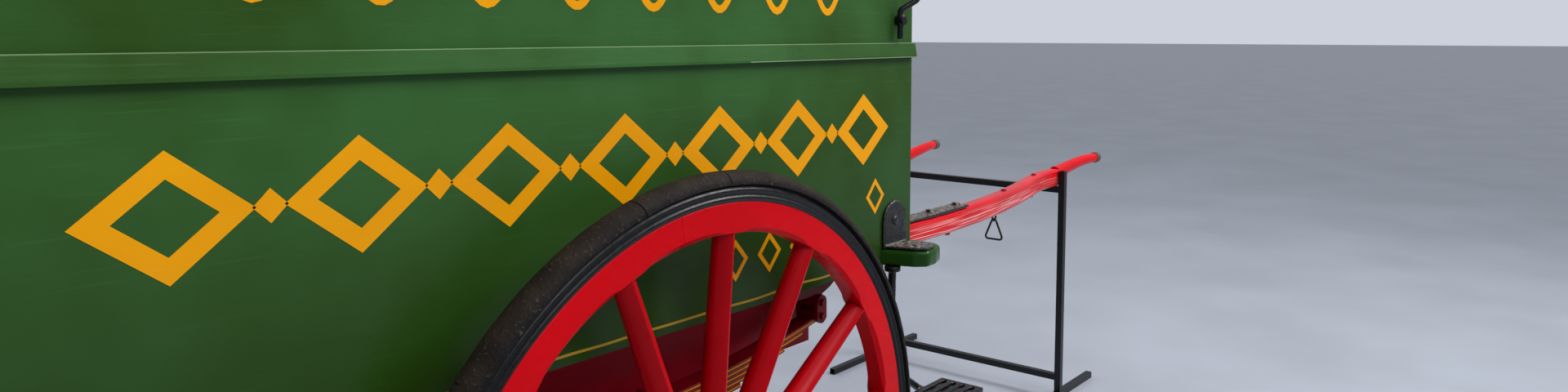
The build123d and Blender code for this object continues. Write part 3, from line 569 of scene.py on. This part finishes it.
# Tyre channels: rolled steel channels shrunk on the felloes, painted black, whose lips hold the
# rubber. Two beads are rolled into each side, so thin grey lights run along them.
channel_half = 0.0255
channel_outer_r = 0.608
channel_wall = 0.0035
channel_round = 0.0030
channel_lip_edge = 0.0012
channel_inner_edge = 0.002
channel_steps = 288
channel_paint = black_iron("channel_black_paint", "07080A", 0.24, 0.009, 0.0002, "1C2024", gloss=0.26)


def channel():
    """The channel's ring, open outwards for the rubber."""
    seat_r = felloe_outer_r
    side_steps = 20
    half_profile = []
    for t in evenly(0, 1, side_steps):
        sunk = channel_round * (1 + cos(2 * tau * t)) / 2
        half_profile.append((seat_r + (channel_outer_r - seat_r) * t, channel_half - sunk))
    half_profile += [
        (channel_outer_r - channel_lip_edge, channel_half - channel_wall - channel_lip_edge),
        (seat_r + channel_wall + channel_inner_edge, channel_half - channel_wall - channel_inner_edge),
        (seat_r + channel_wall, channel_half - channel_wall - 2 * channel_inner_edge),
    ]
    return turned(mirrored(half_profile), channel_steps)


put_on_wheels("rolled_channel", "tyre_channel", channel(), channel_paint, sharp=30)

# Tyres: solid rubber cord wired into the channel. Old rubber shows grey brown dust on the crown,
# chipped shoulders and a few deep splits that run across it.
tyre_r = 0.634
tyre_half = 0.028
tyre_shoulder_r = 0.612
tyre_rim_r = 0.609
tyre_groove_half = 0.0195
tyre_recess_half = 0.0205
tyre_seat_r = 0.585
# Splits: where round the wheel, how far across the tyre, how deep
tyre_splits = ((88.5, 0.55, 0.006), (106.8, 0.6, 0.007), (141, -0.5, 0.004), (20, 0.4, 0.004),
               (231, 0.7, 0.005), (262, -0.6, 0.005), (318, 0.5, 0.005))
split_half = 0.0011
# Worn patches and chips: how deep, and how many to a metre
tyre_wear = ((0.0016, 30), (0.0012, 110))


def worn_rubber():
    """Perished solid rubber: near black, matt, with grey brown dust on the crown and fine pits."""
    crown_from = tyre_shoulder_r + 0.004
    crown_to = tyre_r - 0.002
    patch_size = 0.06
    speck_size = 0.006
    speck_range = (0.60, 0.74)
    speck_share = 0.5
    dent_size = 0.03
    dent_depth = 0.0020
    pit_depth = 0.0014
    roughness = 0.75
    gloss = 0.15
    material, tree, shader = start_material("worn_solid_rubber")
    flat = add_node(tree, "ShaderNodeVectorMath", {"operation": "MULTIPLY"}, {
        0: own_place(tree), 1: (1, 1, 0)})
    radius = add_node(tree, "ShaderNodeVectorMath", {"operation": "LENGTH"}, {0: flat.outputs[0]})
    crown = spread(tree, radius.outputs["Value"], crown_from, crown_to)
    patches = spread(tree, mottle(tree, patch_size), *even_patches)
    side = mixed(tree, patches, linear("131010"), linear("1C1817"))
    dust = mixed(tree, patches, linear("1E1814"), linear("30271F"))
    colour = mixed(tree, crown, side, dust)
    pits = mottle(tree, speck_size, (1, 1, 1), 5)
    specks = spread(tree, pits, *speck_range, 0.0, speck_share)
    colour = mixed(tree, specks, colour, linear("6A5C50"))
    set_inputs(tree, shader, {
        "Base Color": colour, "Roughness": roughness, "IOR": plain_ior, "Specular IOR Level": gloss})
    relief(tree, shader, [(mottle(tree, dent_size), dent_depth), (pits, pit_depth)])
    return material


def tyre():
    """The rubber's ring, worn by smooth noise that is the same each time, with its splits."""
    steps = 420
    half = split_half / tyre_r
    angles = [(tau * i / steps, None) for i in range(steps)]
    for degrees, reach, depth in tyre_splits:
        middle = radians(degrees)
        angles = [a for a in angles if abs(a[0] - middle) > 2 * half]
        angles += [(middle - half, None), (middle, (reach, depth)), (middle + half, None)]
    angles.sort(key=lambda a: a[0])
    crown_steps = 16
    rings = []
    for angle, split in angles:
        ring = mirrored([(tyre_rim_r, tyre_recess_half), (tyre_rim_r, tyre_groove_half),
                         (tyre_seat_r, tyre_groove_half)])
        for turn in evenly(-pi / 2, pi / 2, crown_steps):
            r = tyre_shoulder_r + (tyre_r - tyre_shoulder_r) * cos(turn)
            h = tyre_half * sin(turn)
            spot = Vector((r * cos(angle), r * sin(angle), h))
            worn = sum(depth * max(0, noise.noise(spot * number)) for depth, number in tyre_wear)
            if split and (h / tyre_half) * (1 if split[0] > 0 else -1) > 1 - 2 * abs(split[0]):
                worn += split[1]
            crown = tyre_r - tyre_shoulder_r - worn
            ring.append((tyre_shoulder_r + crown * cos(turn), (tyre_half - worn) * sin(turn)))
        rings.append(swung(ring, angle))
    return skinned(rings, closed=True)


put_on_wheels("rubber_cord", "tyre", tyre(), worn_rubber(), sharp=40)

# Springs: seven steel leaves to each side, the longest rolled into an eye at both ends. They are
# painted dark red with a yellow line drawn along the edge of every leaf.
leaf_thick = 0.0105
leaf_gap = 0.0004
leaf_line = 0.0032
leaf_edge = 0.0006
leaf_steps = (0, 0.054, 0.119, 0.189, 0.264, 0.339, 0.414)
eye_x = 0.532
eye_r = 0.016
eye_bore_r = 0.0081
eye_turn_steps = 40

line_yellow = coach_enamel("yellow_lining_enamel", "E29A00", "D48E00", "E6B050", (10, 10, 1), 0.34, 0.00004)
spring_red = coach_enamel("dark_red_spring_enamel", "8C0818", "700614", "A03440", (12, 1, 1), 0.26)


def leaf(centre_z, inner_r, reach, half_width):
    """One bent leaf, with a strip along the middle of each edge for the painted line."""
    steps = 40
    line_strips = (2, 8)
    half_angle = atan2(reach, inner_r)
    low = leaf_gap / 2
    high = leaf_thick - leaf_gap / 2
    middle = leaf_thick / 2
    rings = []
    for angle in evenly(-half_angle, half_angle, steps):
        side = [(half_width - leaf_edge, low), (half_width, low + leaf_edge),
                (half_width, middle - leaf_line / 2), (half_width, middle + leaf_line / 2),
                (half_width, high - leaf_edge), (half_width - leaf_edge, high)]
        outline = side + [(-y, h) for y, h in reversed(side)]
        ring = [((inner_r + h) * sin(angle), y, centre_z - (inner_r + h) * cos(angle)) for y, h in outline]
        rings.append(ring)
    marks = [1 if j in line_strips else 0 for j in range(len(outline))]
    return skinned(rings, ring_marks=marks)


for word in wheel_words:
    low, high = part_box(f"spring_{word}")
    eye_z = high.z - eye_r
    leaf_rise = eye_z - low.z - leaf_thick * len(leaf_steps)
    leaf_r = (eye_x ** 2 + leaf_rise ** 2) / (2 * leaf_rise)
    centre_z = eye_z - leaf_rise + leaf_r
    half_width = (high.y - low.y) / 2
    shapes = []
    for i, step in enumerate(leaf_steps):
        shapes.append(leaf(centre_z, leaf_r + i * leaf_thick, eye_x - step, half_width))
    tube_profile = [(eye_bore_r, -half_width), (eye_r, -half_width), (eye_r, half_width),
                    (eye_bore_r, half_width)]
    for sign in (-1, 1):
        stand_up = Matrix.Translation((sign * eye_x, 0, eye_z)) @ Matrix.Rotation(pi / 2, 4, "X")
        shapes.append(moved(turned(tube_profile, eye_turn_steps), stand_up))
    side_place = Matrix.Translation((axle_x, (low.y + high.y) / 2, 0))
    pack = make_piece(f"spring_leaves_{word}", joined(shapes), [spring_red, line_yellow], "wagon",
                      side_place, 30)
    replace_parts(pack, f"spring_{word}")

# Shafts: two long ash poles, thick under the body and drawn in towards the horse. Each ends in a
# Each ends in a rounded shoulder and a slimmer horn. The red gloss has split along the grain, and the pale
# streaks on its lower sides are painted reflection.
shaft_y = 0.580
shaft_pinch_y = 0.376
shaft_tip_y = 0.402
shaft_rear_x = -0.172
shaft_straight_x = 1.178
shaft_pinch_x = 2.578
shaft_shoulder_x = 2.666
horn_end_x = 2.997
shaft_root = (0.058, 0.064)
shaft_pinch = (0.050, 0.071)
horn_root = (0.044, 0.054)
horn_end = (0.040, 0.040)
horn_root_rise = 0.012
horn_lift = 0.0495
horn_lift_share = 0.2
shoulder_round = 0.022
shoulder_side_share = 0.55
shaft_edge = 0.014
shaft_rear_edge = 0.005
horn_edge = 0.020
horn_overlap = 0.01
shaft_root_lift = 0.021
shaft_bend_end = 12
shaft_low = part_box("shafts")[0]
shaft_root_z = shaft_low.z + shaft_root_lift + shaft_root[1] / 2
shaft_pinch_z = shaft_low.z + shaft_pinch[1] / 2
split_length = 0.30
split_width = 0.0036
# Bolts along the shafts: how far ahead of the axle, and 1 for a head on top or -1 for a nut below
shaft_bolts = ((1.455, -1), (1.950, 1), (2.365, -1), (2.410, 1))
shaft_bolt_r = 0.010
shaft_head_height = 0.006
shaft_nut_height = 0.012


def rounded_section(x, y, z, width, depth, edge):
    """A rectangle with round corners across a shaft."""
    corner_steps = 5
    edge = min(edge, 0.49 * min(width, depth))
    points = []
    for quarter, (sy, sz) in enumerate(((1, 1), (-1, 1), (-1, -1), (1, -1))):
        for i in range(corner_steps + 1):
            turn = pi / 2 * (quarter + i / corner_steps)
            points.append((x, y + sy * (width / 2 - edge) + edge * cos(turn),
                           z + sz * (depth / 2 - edge) + edge * sin(turn)))
    return points


def shaft_line(x):
    """Sideways place, height, width and depth of a shaft at a length x from the axle."""
    t = min(max((x - shaft_straight_x) / (shaft_pinch_x - shaft_straight_x), 0), 1)
    last = 2 / shaft_bend_end
    y = shaft_y + (shaft_pinch_y - shaft_y) * t * t * (1 + last - last * t ** shaft_bend_end)
    z = shaft_root_z + (shaft_pinch_z - shaft_root_z) * t
    width = shaft_root[0] + (shaft_pinch[0] - shaft_root[0]) * t
    depth = shaft_root[1] + (shaft_pinch[1] - shaft_root[1]) * t
    return y, z, width, depth


def shaft(side):
    """One shaft with its horn. The sections are denser where it bends and at the shoulder."""
    straight_steps = 30
    bend_steps = 48
    shoulder_steps = 8
    xs = [shaft_rear_x, shaft_rear_x + shaft_rear_edge]
    xs += evenly(shaft_rear_x, shaft_straight_x, straight_steps)[1:]
    xs += evenly(shaft_straight_x, shaft_pinch_x, bend_steps)[1:]
    for turn in evenly(0, pi / 2, shoulder_steps):
        xs.append(shaft_shoulder_x - shoulder_round * (1 - sin(turn)))
    rings = []
    for x in xs:
        y, z, width, depth = shaft_line(x)
        inset = 0
        if x > shaft_shoulder_x - shoulder_round:
            along = (x - shaft_shoulder_x + shoulder_round) / shoulder_round
            inset = shoulder_round * (1 - sqrt(max(0, 1 - along * along))) * shoulder_side_share
        rings.append(rounded_section(x, side * y, z, width - inset, depth - 2 * inset, shaft_edge))
    horn_steps = 24
    horn_rings = []
    for t in evenly(0, 1, horn_steps):
        x = shaft_shoulder_x - horn_overlap + (horn_end_x - shaft_shoulder_x + horn_overlap) * t
        y = shaft_pinch_y + (shaft_tip_y - shaft_pinch_y) * t * t
        lift = ease(horn_lift_share + (1 - horn_lift_share) * t)
        z = shaft_pinch_z + horn_root_rise + (horn_lift - horn_root_rise) * lift
        width = horn_root[0] + (horn_end[0] - horn_root[0]) * t
        depth = horn_root[1] + (horn_end[1] - horn_root[1]) * t
        horn_rings.append(rounded_section(x, side * y, z, width, depth, horn_edge))
    return joined([skinned(rings), skinned(horn_rings)])


def facing(point, axis):
    """A place at a point whose Z looks along an axis."""
    return Matrix.Translation(point) @ Vector(axis).to_track_quat("Z", "Y").to_matrix().to_4x4()


def bolt_head(point, axis, r, height):
    """A domed bolt head, sunk a little into what it holds."""
    tip = 0.0003
    sunk = 0.001
    head_steps = 20
    dome = ((1, 0.3), (0.87, 0.7), (0.5, 0.95))
    profile = [(tip, -sunk), (r, -sunk)] + [(r * u, height * v) for u, v in dome] + [(tip, height)]
    return moved(turned(profile, head_steps), facing(point, axis))


def split_and_sheen_enamel():
    """Red gloss enamel on ash that has split along the grain.

    It shows as bright red on top, and on the lower sides as long pale pink streaks: a painted
    reflection of the gloss on the raised grain.
    """
    # Heights above the shaft's middle between which the painted reflection streaks begin to show
    sheen_streak_from, sheen_streak_to = 0.022, 0.004
    # The painted reflection streaks fade out before the pinch, from all of them to this share
    fade_from, fade_to, fade_share = shaft_pinch_x - 0.45, shaft_pinch_x - 0.05, 0.25
    streak_range = (0.50, 0.58)
    cloud_size = 0.3
    wave_size = 0.05
    wave_depth = 0.0006
    grain_depth = 0.0008
    roughness = 0.24
    gloss = 0.24
    material, tree, shader = start_material("red_enamel_split_painted_sheen")
    spot = add_node(tree, "ShaderNodeSeparateXYZ", {}, {0: own_place(tree)})
    middle_z = spread(tree, spot.outputs[0], shaft_straight_x, shaft_pinch_x, shaft_root_z, shaft_pinch_z)
    above = add_node(tree, "ShaderNodeMath", {"operation": "SUBTRACT"}, {
        0: spot.outputs[2], 1: middle_z}).outputs[0]
    along_grain = add_node(tree, "ShaderNodeCombineXYZ", {}, {0: spot.outputs[0], 2: above})
    scaled = add_node(tree, "ShaderNodeMapping", {}, {
        "Vector": along_grain.outputs[0], "Scale": (1 / split_length, 1, 1 / split_width)})
    grain = add_node(tree, "ShaderNodeTexNoise", {}, {
        "Vector": scaled.outputs[0], "Scale": 1.0, "Detail": 2, "Roughness": 0.5}).outputs[0]
    lower_side_sheen = spread(tree, above, sheen_streak_from, sheen_streak_to)
    fade = spread(tree, spot.outputs[0], fade_from, fade_to, 1.0, fade_share)
    streaks = product(tree, spread(tree, grain, *streak_range), product(tree, fade, lower_side_sheen))
    clouds = spread(tree, mottle(tree, cloud_size), *even_patches)
    colour = mixed(tree, clouds, linear("DA0012"), linear("BE0010"))
    # Pale pink streaks on the lower sides: painted reflection of the gloss on the raised grain.
    colour = mixed(tree, streaks, colour, linear("EE9A96"))
    set_inputs(tree, shader, {
        "Base Color": colour, "Roughness": roughness, "IOR": plain_ior, "Specular IOR Level": gloss})
    relief(tree, shader, [(mottle(tree, wave_size), wave_depth), (grain, grain_depth)])
    return material


shaft_enamel = split_and_sheen_enamel()
axle_place = Matrix.Translation((axle_x, 0, 0))
both_shafts = make_piece("bent_shafts", joined([shaft(-1), shaft(1)]), [shaft_enamel], "wagon",
                         axle_place, 30)
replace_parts(both_shafts, "shafts")
heads = []
for side in (-1, 1):
    for x, way in shaft_bolts:
        y, z, width, depth = shaft_line(x)
        height = shaft_head_height if way > 0 else shaft_nut_height
        heads.append(bolt_head((x, side * y, z + way * depth / 2), (0, 0, way), shaft_bolt_r, height))
make_piece("shaft_bolts", joined(heads), [spring_red], "wagon", axle_place)

# Iron straps, feet and sockets: corner irons, shaft plates, step irons, lamp irons and links are
# smith's work, hammered and dipped in thick black paint that has run and pitted.
# The corner irons and shaft plates get pale specks on their upper faces: wear, and also a painted
# highlight.
forged_black = black_iron("forged_black_paint", "040404", 0.05, 0.008, 0.0024, "121214", "8A7668", 0.6)
rusted_black = black_iron("rubbed_and_highlit_black_paint", "0A0808", 0.12, 0.006, 0.0010, "342E2A", "8A7666", 0.4)
# Columns: node, voxel size, depth of the hammer marks, paint
smith_work = (
    ("corner_irons", 0.0022, 0.0030, forged_black),
    ("shaft_plates", 0.0034, 0.0014, rusted_black),
    ("step_irons", 0.0028, 0.0008, smooth_black),
    ("lamp_irons", 0.0020, 0.0005, smooth_black),
    ("trace_links", 0.0012, 0.0003, smooth_black),
)
hammer_mark_size = 0.010
forging_passes = 2
hammer_marks = bpy.data.textures.new("hammer_marks", "CLOUDS")
hammer_marks.noise_scale = hammer_mark_size


def soften(node, paint, voxel, passes):
    """Paints a plain CAD piece and rounds it all over, as forging and planing do."""
    item = frame["nodes"][node]
    item.data.materials[0] = paint
    remesh = item.modifiers.new("worked", "REMESH")
    remesh.mode = "VOXEL"
    remesh.voxel_size = voxel
    remesh.use_smooth_shade = True
    rounding = item.modifiers.new("rounded", "SMOOTH")
    rounding.iterations = passes
    return item


for node, voxel, depth, paint in smith_work:
    hammer = soften(node, paint, voxel, forging_passes).modifiers.new("hammered", "DISPLACE")
    hammer.texture = hammer_marks
    hammer.texture_coords = "GLOBAL"
    hammer.strength = depth
# Corner iron bolts: place from the axle's middle, radius, height
leaf_bolt = ((0.715, 0.861, 1.070), 0.011, 0.005)
foot_bolt = ((0.725, 0.911, 1.016), 0.009, 0.003)
heads = []
for side in (-1, 1):
    for ((x, y, z), r, height), axis in ((leaf_bolt, (0, side, 0)), (foot_bolt, (0, 0, 1))):
        heads.append(bolt_head((x, side * y, z), axis, r, height))
make_piece("corner_iron_bolts", joined(heads), [forged_black], "wagon", axle_place)

# Underframe: maroon sole bars and bearers of sawn ash, the forged axle with its pads, and the
# spring hangers, all brushed with one flat maroon paint that has gone dull and dusty.
maroon_paint = coach_enamel("maroon_brushed_paint", "A40A22", "88081C", "A8303E", (14, 1, 1), 0.34, 0.0002,
                            gloss=0.14)
maroon_forging = coach_enamel("maroon_paint_on_forging", "86101F", "6C0A18", "9C3C4A", (1, 1, 1), 0.28,
                              0.0004)
# Columns: node, paint, worn edge
for node, finish, edge in (
        ("sole_bars", maroon_paint, 0.004), ("floor_bearers", maroon_paint, 0.003),
        ("axle_pads", maroon_paint, 0.003), ("axle", maroon_forging, 0.002),
        ("spring_hangers", maroon_forging, 0.0015), ("spring_clips", maroon_forging, 0.001)):
    dress(node, finish, edge)
ferrule_grey = black_iron("dull_grey_ferrule", "4E554E", 0.36, 0.006, 0.0003, "8A9088")
tip_edge = 0.001
dress("shaft_tips", ferrule_grey, tip_edge)

# Body: pine panels with rails planted on, under many coats of green coach enamel brushed level.
# The gloss has gone soft, so it shows slow clouds and fine strokes along the wagon.
footboard_voxel = 0.0055
footboard_smoothing = 6
arris = 0.002
rail_top_out, rail_foot_out = 0.863, 0.868
lower_from = axle_x + 0.20


def bar_shape(x0, x1, y0, y1, z0, z1, edge):
    """A squared bar or board with small worn edges."""
    rings = []
    for x, inset in ((x0, edge), (x0 + edge, 0), (x1 - edge, 0), (x1, edge)):
        a, b, c, d = y0 + inset, y1 - inset, z0 + inset, z1 - inset
        rings.append([(x, a + edge, c), (x, b - edge, c), (x, b, c + edge), (x, b, d - edge),
                      (x, b - edge, d), (x, a + edge, d), (x, a, d - edge), (x, a, c + edge)])
    return skinned(rings)


# The green darkens to painted shade towards the foot of the panels.
green_enamel = coach_enamel("green_enamel_brushed", "36622F", "2B4C14", "447C44", (30, 30, 1), 0.27,
                            0.00016, streak_share=0.35, gloss=0.24, foot_shade_colour="1F3A06")
green_edge = coach_enamel("green_enamel_thick", "1C4410", "15350C", "34602C", (8, 8, 8), 0.16, 0.0004)
# Columns: node, worn edge
for node, edge in (("side_right", 0.002), ("side_left", 0.002), ("belt_rails", 0.0015),
                   ("eaves_rails", 0.002), ("rear_frame", 0.002), ("front_header", 0.002),
                   ("door_right", 0.0015), ("door_left", 0.0015)):
    dress(node, green_enamel, edge)
soften("footboard", green_edge, footboard_voxel, footboard_smoothing)
belt_low, belt_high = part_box("belt_rails")
# Pale strips along the top arris of each belt rail and, towards the front, along its lower edge: painted
# highlights where the edges catch the light.
lit_arris_lines = ((belt_low.x, rail_top_out, belt_high.z), (lower_from, rail_foot_out, belt_low.z + arris))
strips = []
for side in (-1, 1):
    for x0, out, z in lit_arris_lines:
        y0, y1 = sorted((side * (out - arris), side * (out + arris / 4)))
        strips.append(bar_shape(x0, belt_high.x, y0, y1, z - arris, z, arris / 4))
arris_highlight_green = coach_enamel("painted_highlight_arris", "7E9A6E", "6A8A5E", "A8BC98", (20, 20, 1), 0.25, 0.00004)
make_piece("painted_highlight_rail_arrises", joined(strips), [arris_highlight_green], "wagon")

# Painted ornament: yellow signwriter's enamel laid over the green in a single coat, with a row of
# lozenges along the panel, a running wave above the rail, small lozenges and a thin line below.
panel_y = 0.855
paint_thick = 0.0003
lozenge_half_x = 0.078
lozenge_z = 1.289
lozenge_half_z = 0.062
lozenge_stroke = 0.026
lozenge_pitch = 0.232
first_lozenge_x = -0.800
lozenge_number = 7
bead_half = 0.022
wave_z = 1.592
wave_half = 0.048
wave_length = 0.165
wave_stroke = 0.014
wave_from, wave_to = -0.985, 0.540
# Small lozenges: place ahead of the axle, height
small_lozenges = ((0.640, 1.135), (0.470, 1.070), (0.370, 1.070), (0.270, 1.070), (0.170, 1.070))
small_half_x, small_half_z, small_stroke = 0.030, 0.034, 0.009
pinstripe_z = 0.986
pinstripe_from, pinstripe_to = -1.018, 0.660
pinstripe_width = 0.0045
line_steps = 90
hand_shake = 0.006
shakes_per_metre = 7
mitre_limit = 0.4


def ribbon(path, width, side, closed=False):
    """A painted stroke of even width along (x, z) points on one side of the body."""
    rings = []
    count = len(path)
    for i, (x, z) in enumerate(path):
        before = path[i - 1] if i or closed else None
        after = path[(i + 1) % count] if i + 1 < count or closed else None
        ways = []
        for a, b in ((before, (x, z)), ((x, z), after)):
            if a and b:
                length = sqrt((b[0] - a[0]) ** 2 + (b[1] - a[1]) ** 2)
                ways.append(((b[0] - a[0]) / length, (b[1] - a[1]) / length))
        across = Vector((-sum(w[1] for w in ways), sum(w[0] for w in ways))).normalized()
        first = Vector((-ways[0][1], ways[0][0]))
        across *= width / 2 / max(mitre_limit, across.dot(first))
        out, back = side * (panel_y + paint_thick), side * (panel_y - paint_thick)
        rings.append([(x + across.x, out, z + across.y), (x - across.x, out, z - across.y),
                      (x - across.x, back, z - across.y), (x + across.x, back, z + across.y)])
    return skinned(rings, closed=closed)


def lozenge(x, z, half_x, half_z):
    """The corners of a lozenge."""
    return [(x - half_x, z), (x, z + half_z), (x + half_x, z), (x, z - half_z)]


def solid_lozenge(x, z, half, side):
    """A filled lozenge as high as it is wide."""
    out, back = side * (panel_y + paint_thick), side * (panel_y - paint_thick)
    corners = lozenge(x, z, half, half)
    return skinned([[(a, out, b) for a, b in corners], [(a, back, b) for a, b in corners]])


yellow_enamel = coach_enamel("yellow_sign_enamel", "F6A600", "EA9A00", "F8BC40", (6, 6, 1), 0.30, 0.00008)
gold_lining = coach_enamel("old_gold_lining", "B8952C", "A88424", "D0B050", (6, 6, 1), 0.34, 0.00004)
for side, word in sides:
    strokes = []
    for i in range(lozenge_number):
        x = first_lozenge_x + lozenge_pitch * i
        outline = lozenge(x, lozenge_z, lozenge_half_x, lozenge_half_z)
        strokes.append(ribbon(outline, lozenge_stroke, side, True))
        if i:
            strokes.append(solid_lozenge(x - lozenge_pitch / 2, lozenge_z, bead_half, side))
    for x, z in small_lozenges:
        strokes.append(ribbon(lozenge(x, z, small_half_x, small_half_z), small_stroke, side, True))
    wave_steps = 180
    wave = [(x, wave_z + wave_half * sin(tau * (x - wave_from) / wave_length))
            for x in evenly(wave_from, wave_to, wave_steps)]
    strokes.append(ribbon(wave, wave_stroke, side))
    make_piece(f"painted_ornament_{word}", joined(strokes), [yellow_enamel], "wagon",
               axle_place, 30)
    line_path = [(x, pinstripe_z + hand_shake * noise.noise((x * shakes_per_metre, side, 0)))
                 for x in evenly(pinstripe_from, pinstripe_to, line_steps)]
    line = ribbon(line_path, pinstripe_width, side)
    make_piece(f"painted_line_{word}", line, [gold_lining], "wagon", axle_place, 30)

# Rear doors: framed pine doors whose sunk panels have a planted moulding, hung on strap hinges
# with three coach bolts each. The right door carries a forged lever handle.
panel_y0, panel_y1 = 0.0895, 0.695
panel_heights = ((1.089, 1.4025), (1.5215, 1.969))
panel_face_x = -1.014
# The moulding: how far in from the panel's edge, how far out from its face
moulding_profile = ((0, -0.001), (0, 0.0066), (0.003, 0.0078), (0.007, 0.0070), (0.010, 0.0040),
                    (0.014, 0.0022), (0.016, -0.001))
strap_x = -1.027
strap_heights = (1.120, 1.555, 1.990)
strap_bolts = (0.560, 0.650, 0.740)
strap_bolt_r = 0.008
strap_bolt_height = 0.004
small_iron_edge = 0.0008


def panel_moulding(y0, y1, z0, z1):
    """A mitred moulding round a panel."""
    corners = ((y0, z0, 1, 1), (y1, z0, -1, 1), (y1, z1, -1, -1), (y0, z1, 1, -1))
    return skinned([[(panel_face_x - h, y + sy * d, z + sz * d) for d, h in moulding_profile]
                    for y, z, sy, sz in corners], closed=True)


for side, word in sides:
    y0, y1 = sorted((side * panel_y0, side * panel_y1))
    frames = [panel_moulding(y0, y1, z0, z1) for z0, z1 in panel_heights]
    make_piece(f"door_moulding_{word}", joined(frames), [green_enamel], f"door_{word}",
               axle_place, 30)
    spots = [(strap_x, side * y, z) for y in strap_bolts for z in strap_heights]
    heads = [bolt_head(spot, (-1, 0, 0), strap_bolt_r, strap_bolt_height) for spot in spots]
    make_piece(f"hinge_bolts_{word}", joined(heads), [smooth_black], f"door_{word}", axle_place)
for node in ("hinge_pins", "door_hinges_right", "door_hinges_left", "door_handle", "front_posts"):
    dress(node, smooth_black, small_iron_edge)

# Roof: boards covered with canvas that is bedded in white lead and painted. Its edge is turned
# down over a half round moulding and held by a row of copper tacks.
canvas = coach_enamel("painted_roof_canvas", "C4BDA6", "B5AD94", "D4CEBC", (2, 2, 2), 0.50, 0.0003)
tack_copper = black_iron("dull_copper_tack", "6A4A34", 0.40, 0.01, 0.0001, "8A6A50")
roof_low, roof_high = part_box("roof")
roof_edge_z = 2.150
edge_reach = 0.011
edge_width_share = 0.7
edge_lift = 0.003
edge_inset = 0.004
edge_steps = 13
tack_pitch = 0.060
tack_r = 0.0035
tack_height = 0.002
tack_out_share = 0.66
tack_lift = 0.005
tack_tilt = 0.2
canvas_edge = 0.003
dress("roof", canvas, canvas_edge)
for side, word in sides:
    y = side * (roof_high.y - edge_inset)
    rings = []
    for x in (roof_low.x + edge_inset, roof_high.x - edge_inset):
        ring = []
        for i in range(edge_steps):
            turn = tau * i / edge_steps
            ring.append((x, y + edge_reach * edge_width_share * cos(turn),
                         roof_edge_z + edge_lift + edge_reach * sin(turn)))
        rings.append(ring)
    make_piece(f"roof_edge_{word}", skinned(rings), [green_enamel], "wagon", None, 40)
    tacks = []
    x = roof_low.x + tack_pitch / 2
    while x < roof_high.x:
        spot = (x, y + side * edge_reach * tack_out_share, roof_edge_z + tack_lift)
        tacks.append(bolt_head(spot, (0, side, tack_tilt), tack_r, tack_height))
        x += tack_pitch
    make_piece(f"roof_tacks_{word}", joined(tacks), [tack_copper], "wagon")

# Inside: cream tongued boards on the bulkhead behind the driver, tray runners in the load space,
# and a varnished pine seat and floor whose planks show their joints.
cream_paint = coach_enamel("cream_inside_paint", "D2C9AC", "C2B898", "E4DEC8", (1, 1, 14), 0.40)
varnished_pine = coach_enamel("varnished_pine", "6B4526", "563519", "8A6238", (20, 2, 1), 0.30, 0.0003,
                              streak_share=0.5)
seat_pine = coach_enamel("varnished_seat_pine", "6B4526", "563519", "8A6238", (1, 20, 1), 0.30, 0.0003,
                         streak_share=0.5)
plank_gap = 0.0015
plank_edge = 0.0020
floor_planks = 12
wall_boards = 17
wall_x0, wall_x1 = 0.389, 0.394
# The roof's curve under which the boards end: its radius and the height of its centre
roof_curve_r, roof_curve_z = 2.4515, -0.1315
under_roof = 0.006
board_edge = 0.0012
seat_planks = 3
seat_thick = 0.026
seat_lip = 0.040
seat_edge = 0.003
front_board = 0.020
runner_edge = 0.002
frame["nodes"]["bulkhead"].data.materials[0] = cream_paint
dress("tray_runners", cream_paint, runner_edge)
floor_low, floor_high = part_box("floor")
width = (floor_high.y - floor_low.y) / floor_planks
planks = []
for i in range(floor_planks):
    y = floor_low.y + i * width
    planks.append(bar_shape(floor_low.x, floor_high.x, y, y + width - plank_gap, floor_low.z, floor_high.z,
                            plank_edge))
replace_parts(make_piece("floor_planks", joined(planks), [varnished_pine], "wagon"), "floor")
wall_low, wall_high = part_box("bulkhead")
bench_low, bench_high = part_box("bench")
width = (wall_high.y - wall_low.y) / wall_boards
boards = []
for i in range(wall_boards):
    y = wall_low.y + i * width
    reach = max(abs(y), abs(y + width))
    top = roof_curve_z + sqrt(roof_curve_r ** 2 - reach ** 2) - under_roof
    boards.append(bar_shape(axle_x + wall_x0, axle_x + wall_x1, y, y + width - plank_gap, bench_high.z, top,
                            board_edge))
make_piece("bulkhead_boards", joined(boards), [cream_paint], "wagon")
width = (bench_high.x - bench_low.x) / seat_planks
planks = []
for i in range(seat_planks):
    x = bench_low.x + i * width
    last = i == seat_planks - 1
    planks.append(bar_shape(x, x + width - (0 if last else plank_gap), bench_low.y, bench_high.y,
                            bench_high.z - seat_thick, bench_high.z, seat_edge))
front_x = bench_high.x - seat_lip
planks.append(bar_shape(front_x - front_board, front_x, bench_low.y, bench_high.y, bench_low.z,
                        bench_high.z - seat_thick, plank_edge))
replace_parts(make_piece("bench_planks", joined(planks), [seat_pine], "wagon"), "bench")

# Stand: a frame of 25 mm square steel tube, welded and painted satin black. The worn paint shows
# a grey light along the edges of the tube.
stand_black = black_iron("satin_black_tube", "0C0C0E", 0.30, 0.004, 0.0001, "2A2A2E")
tube_edge = 0.0022
tube_edge_steps = 3
dress("stand", stand_black, tube_edge, tube_edge_steps)
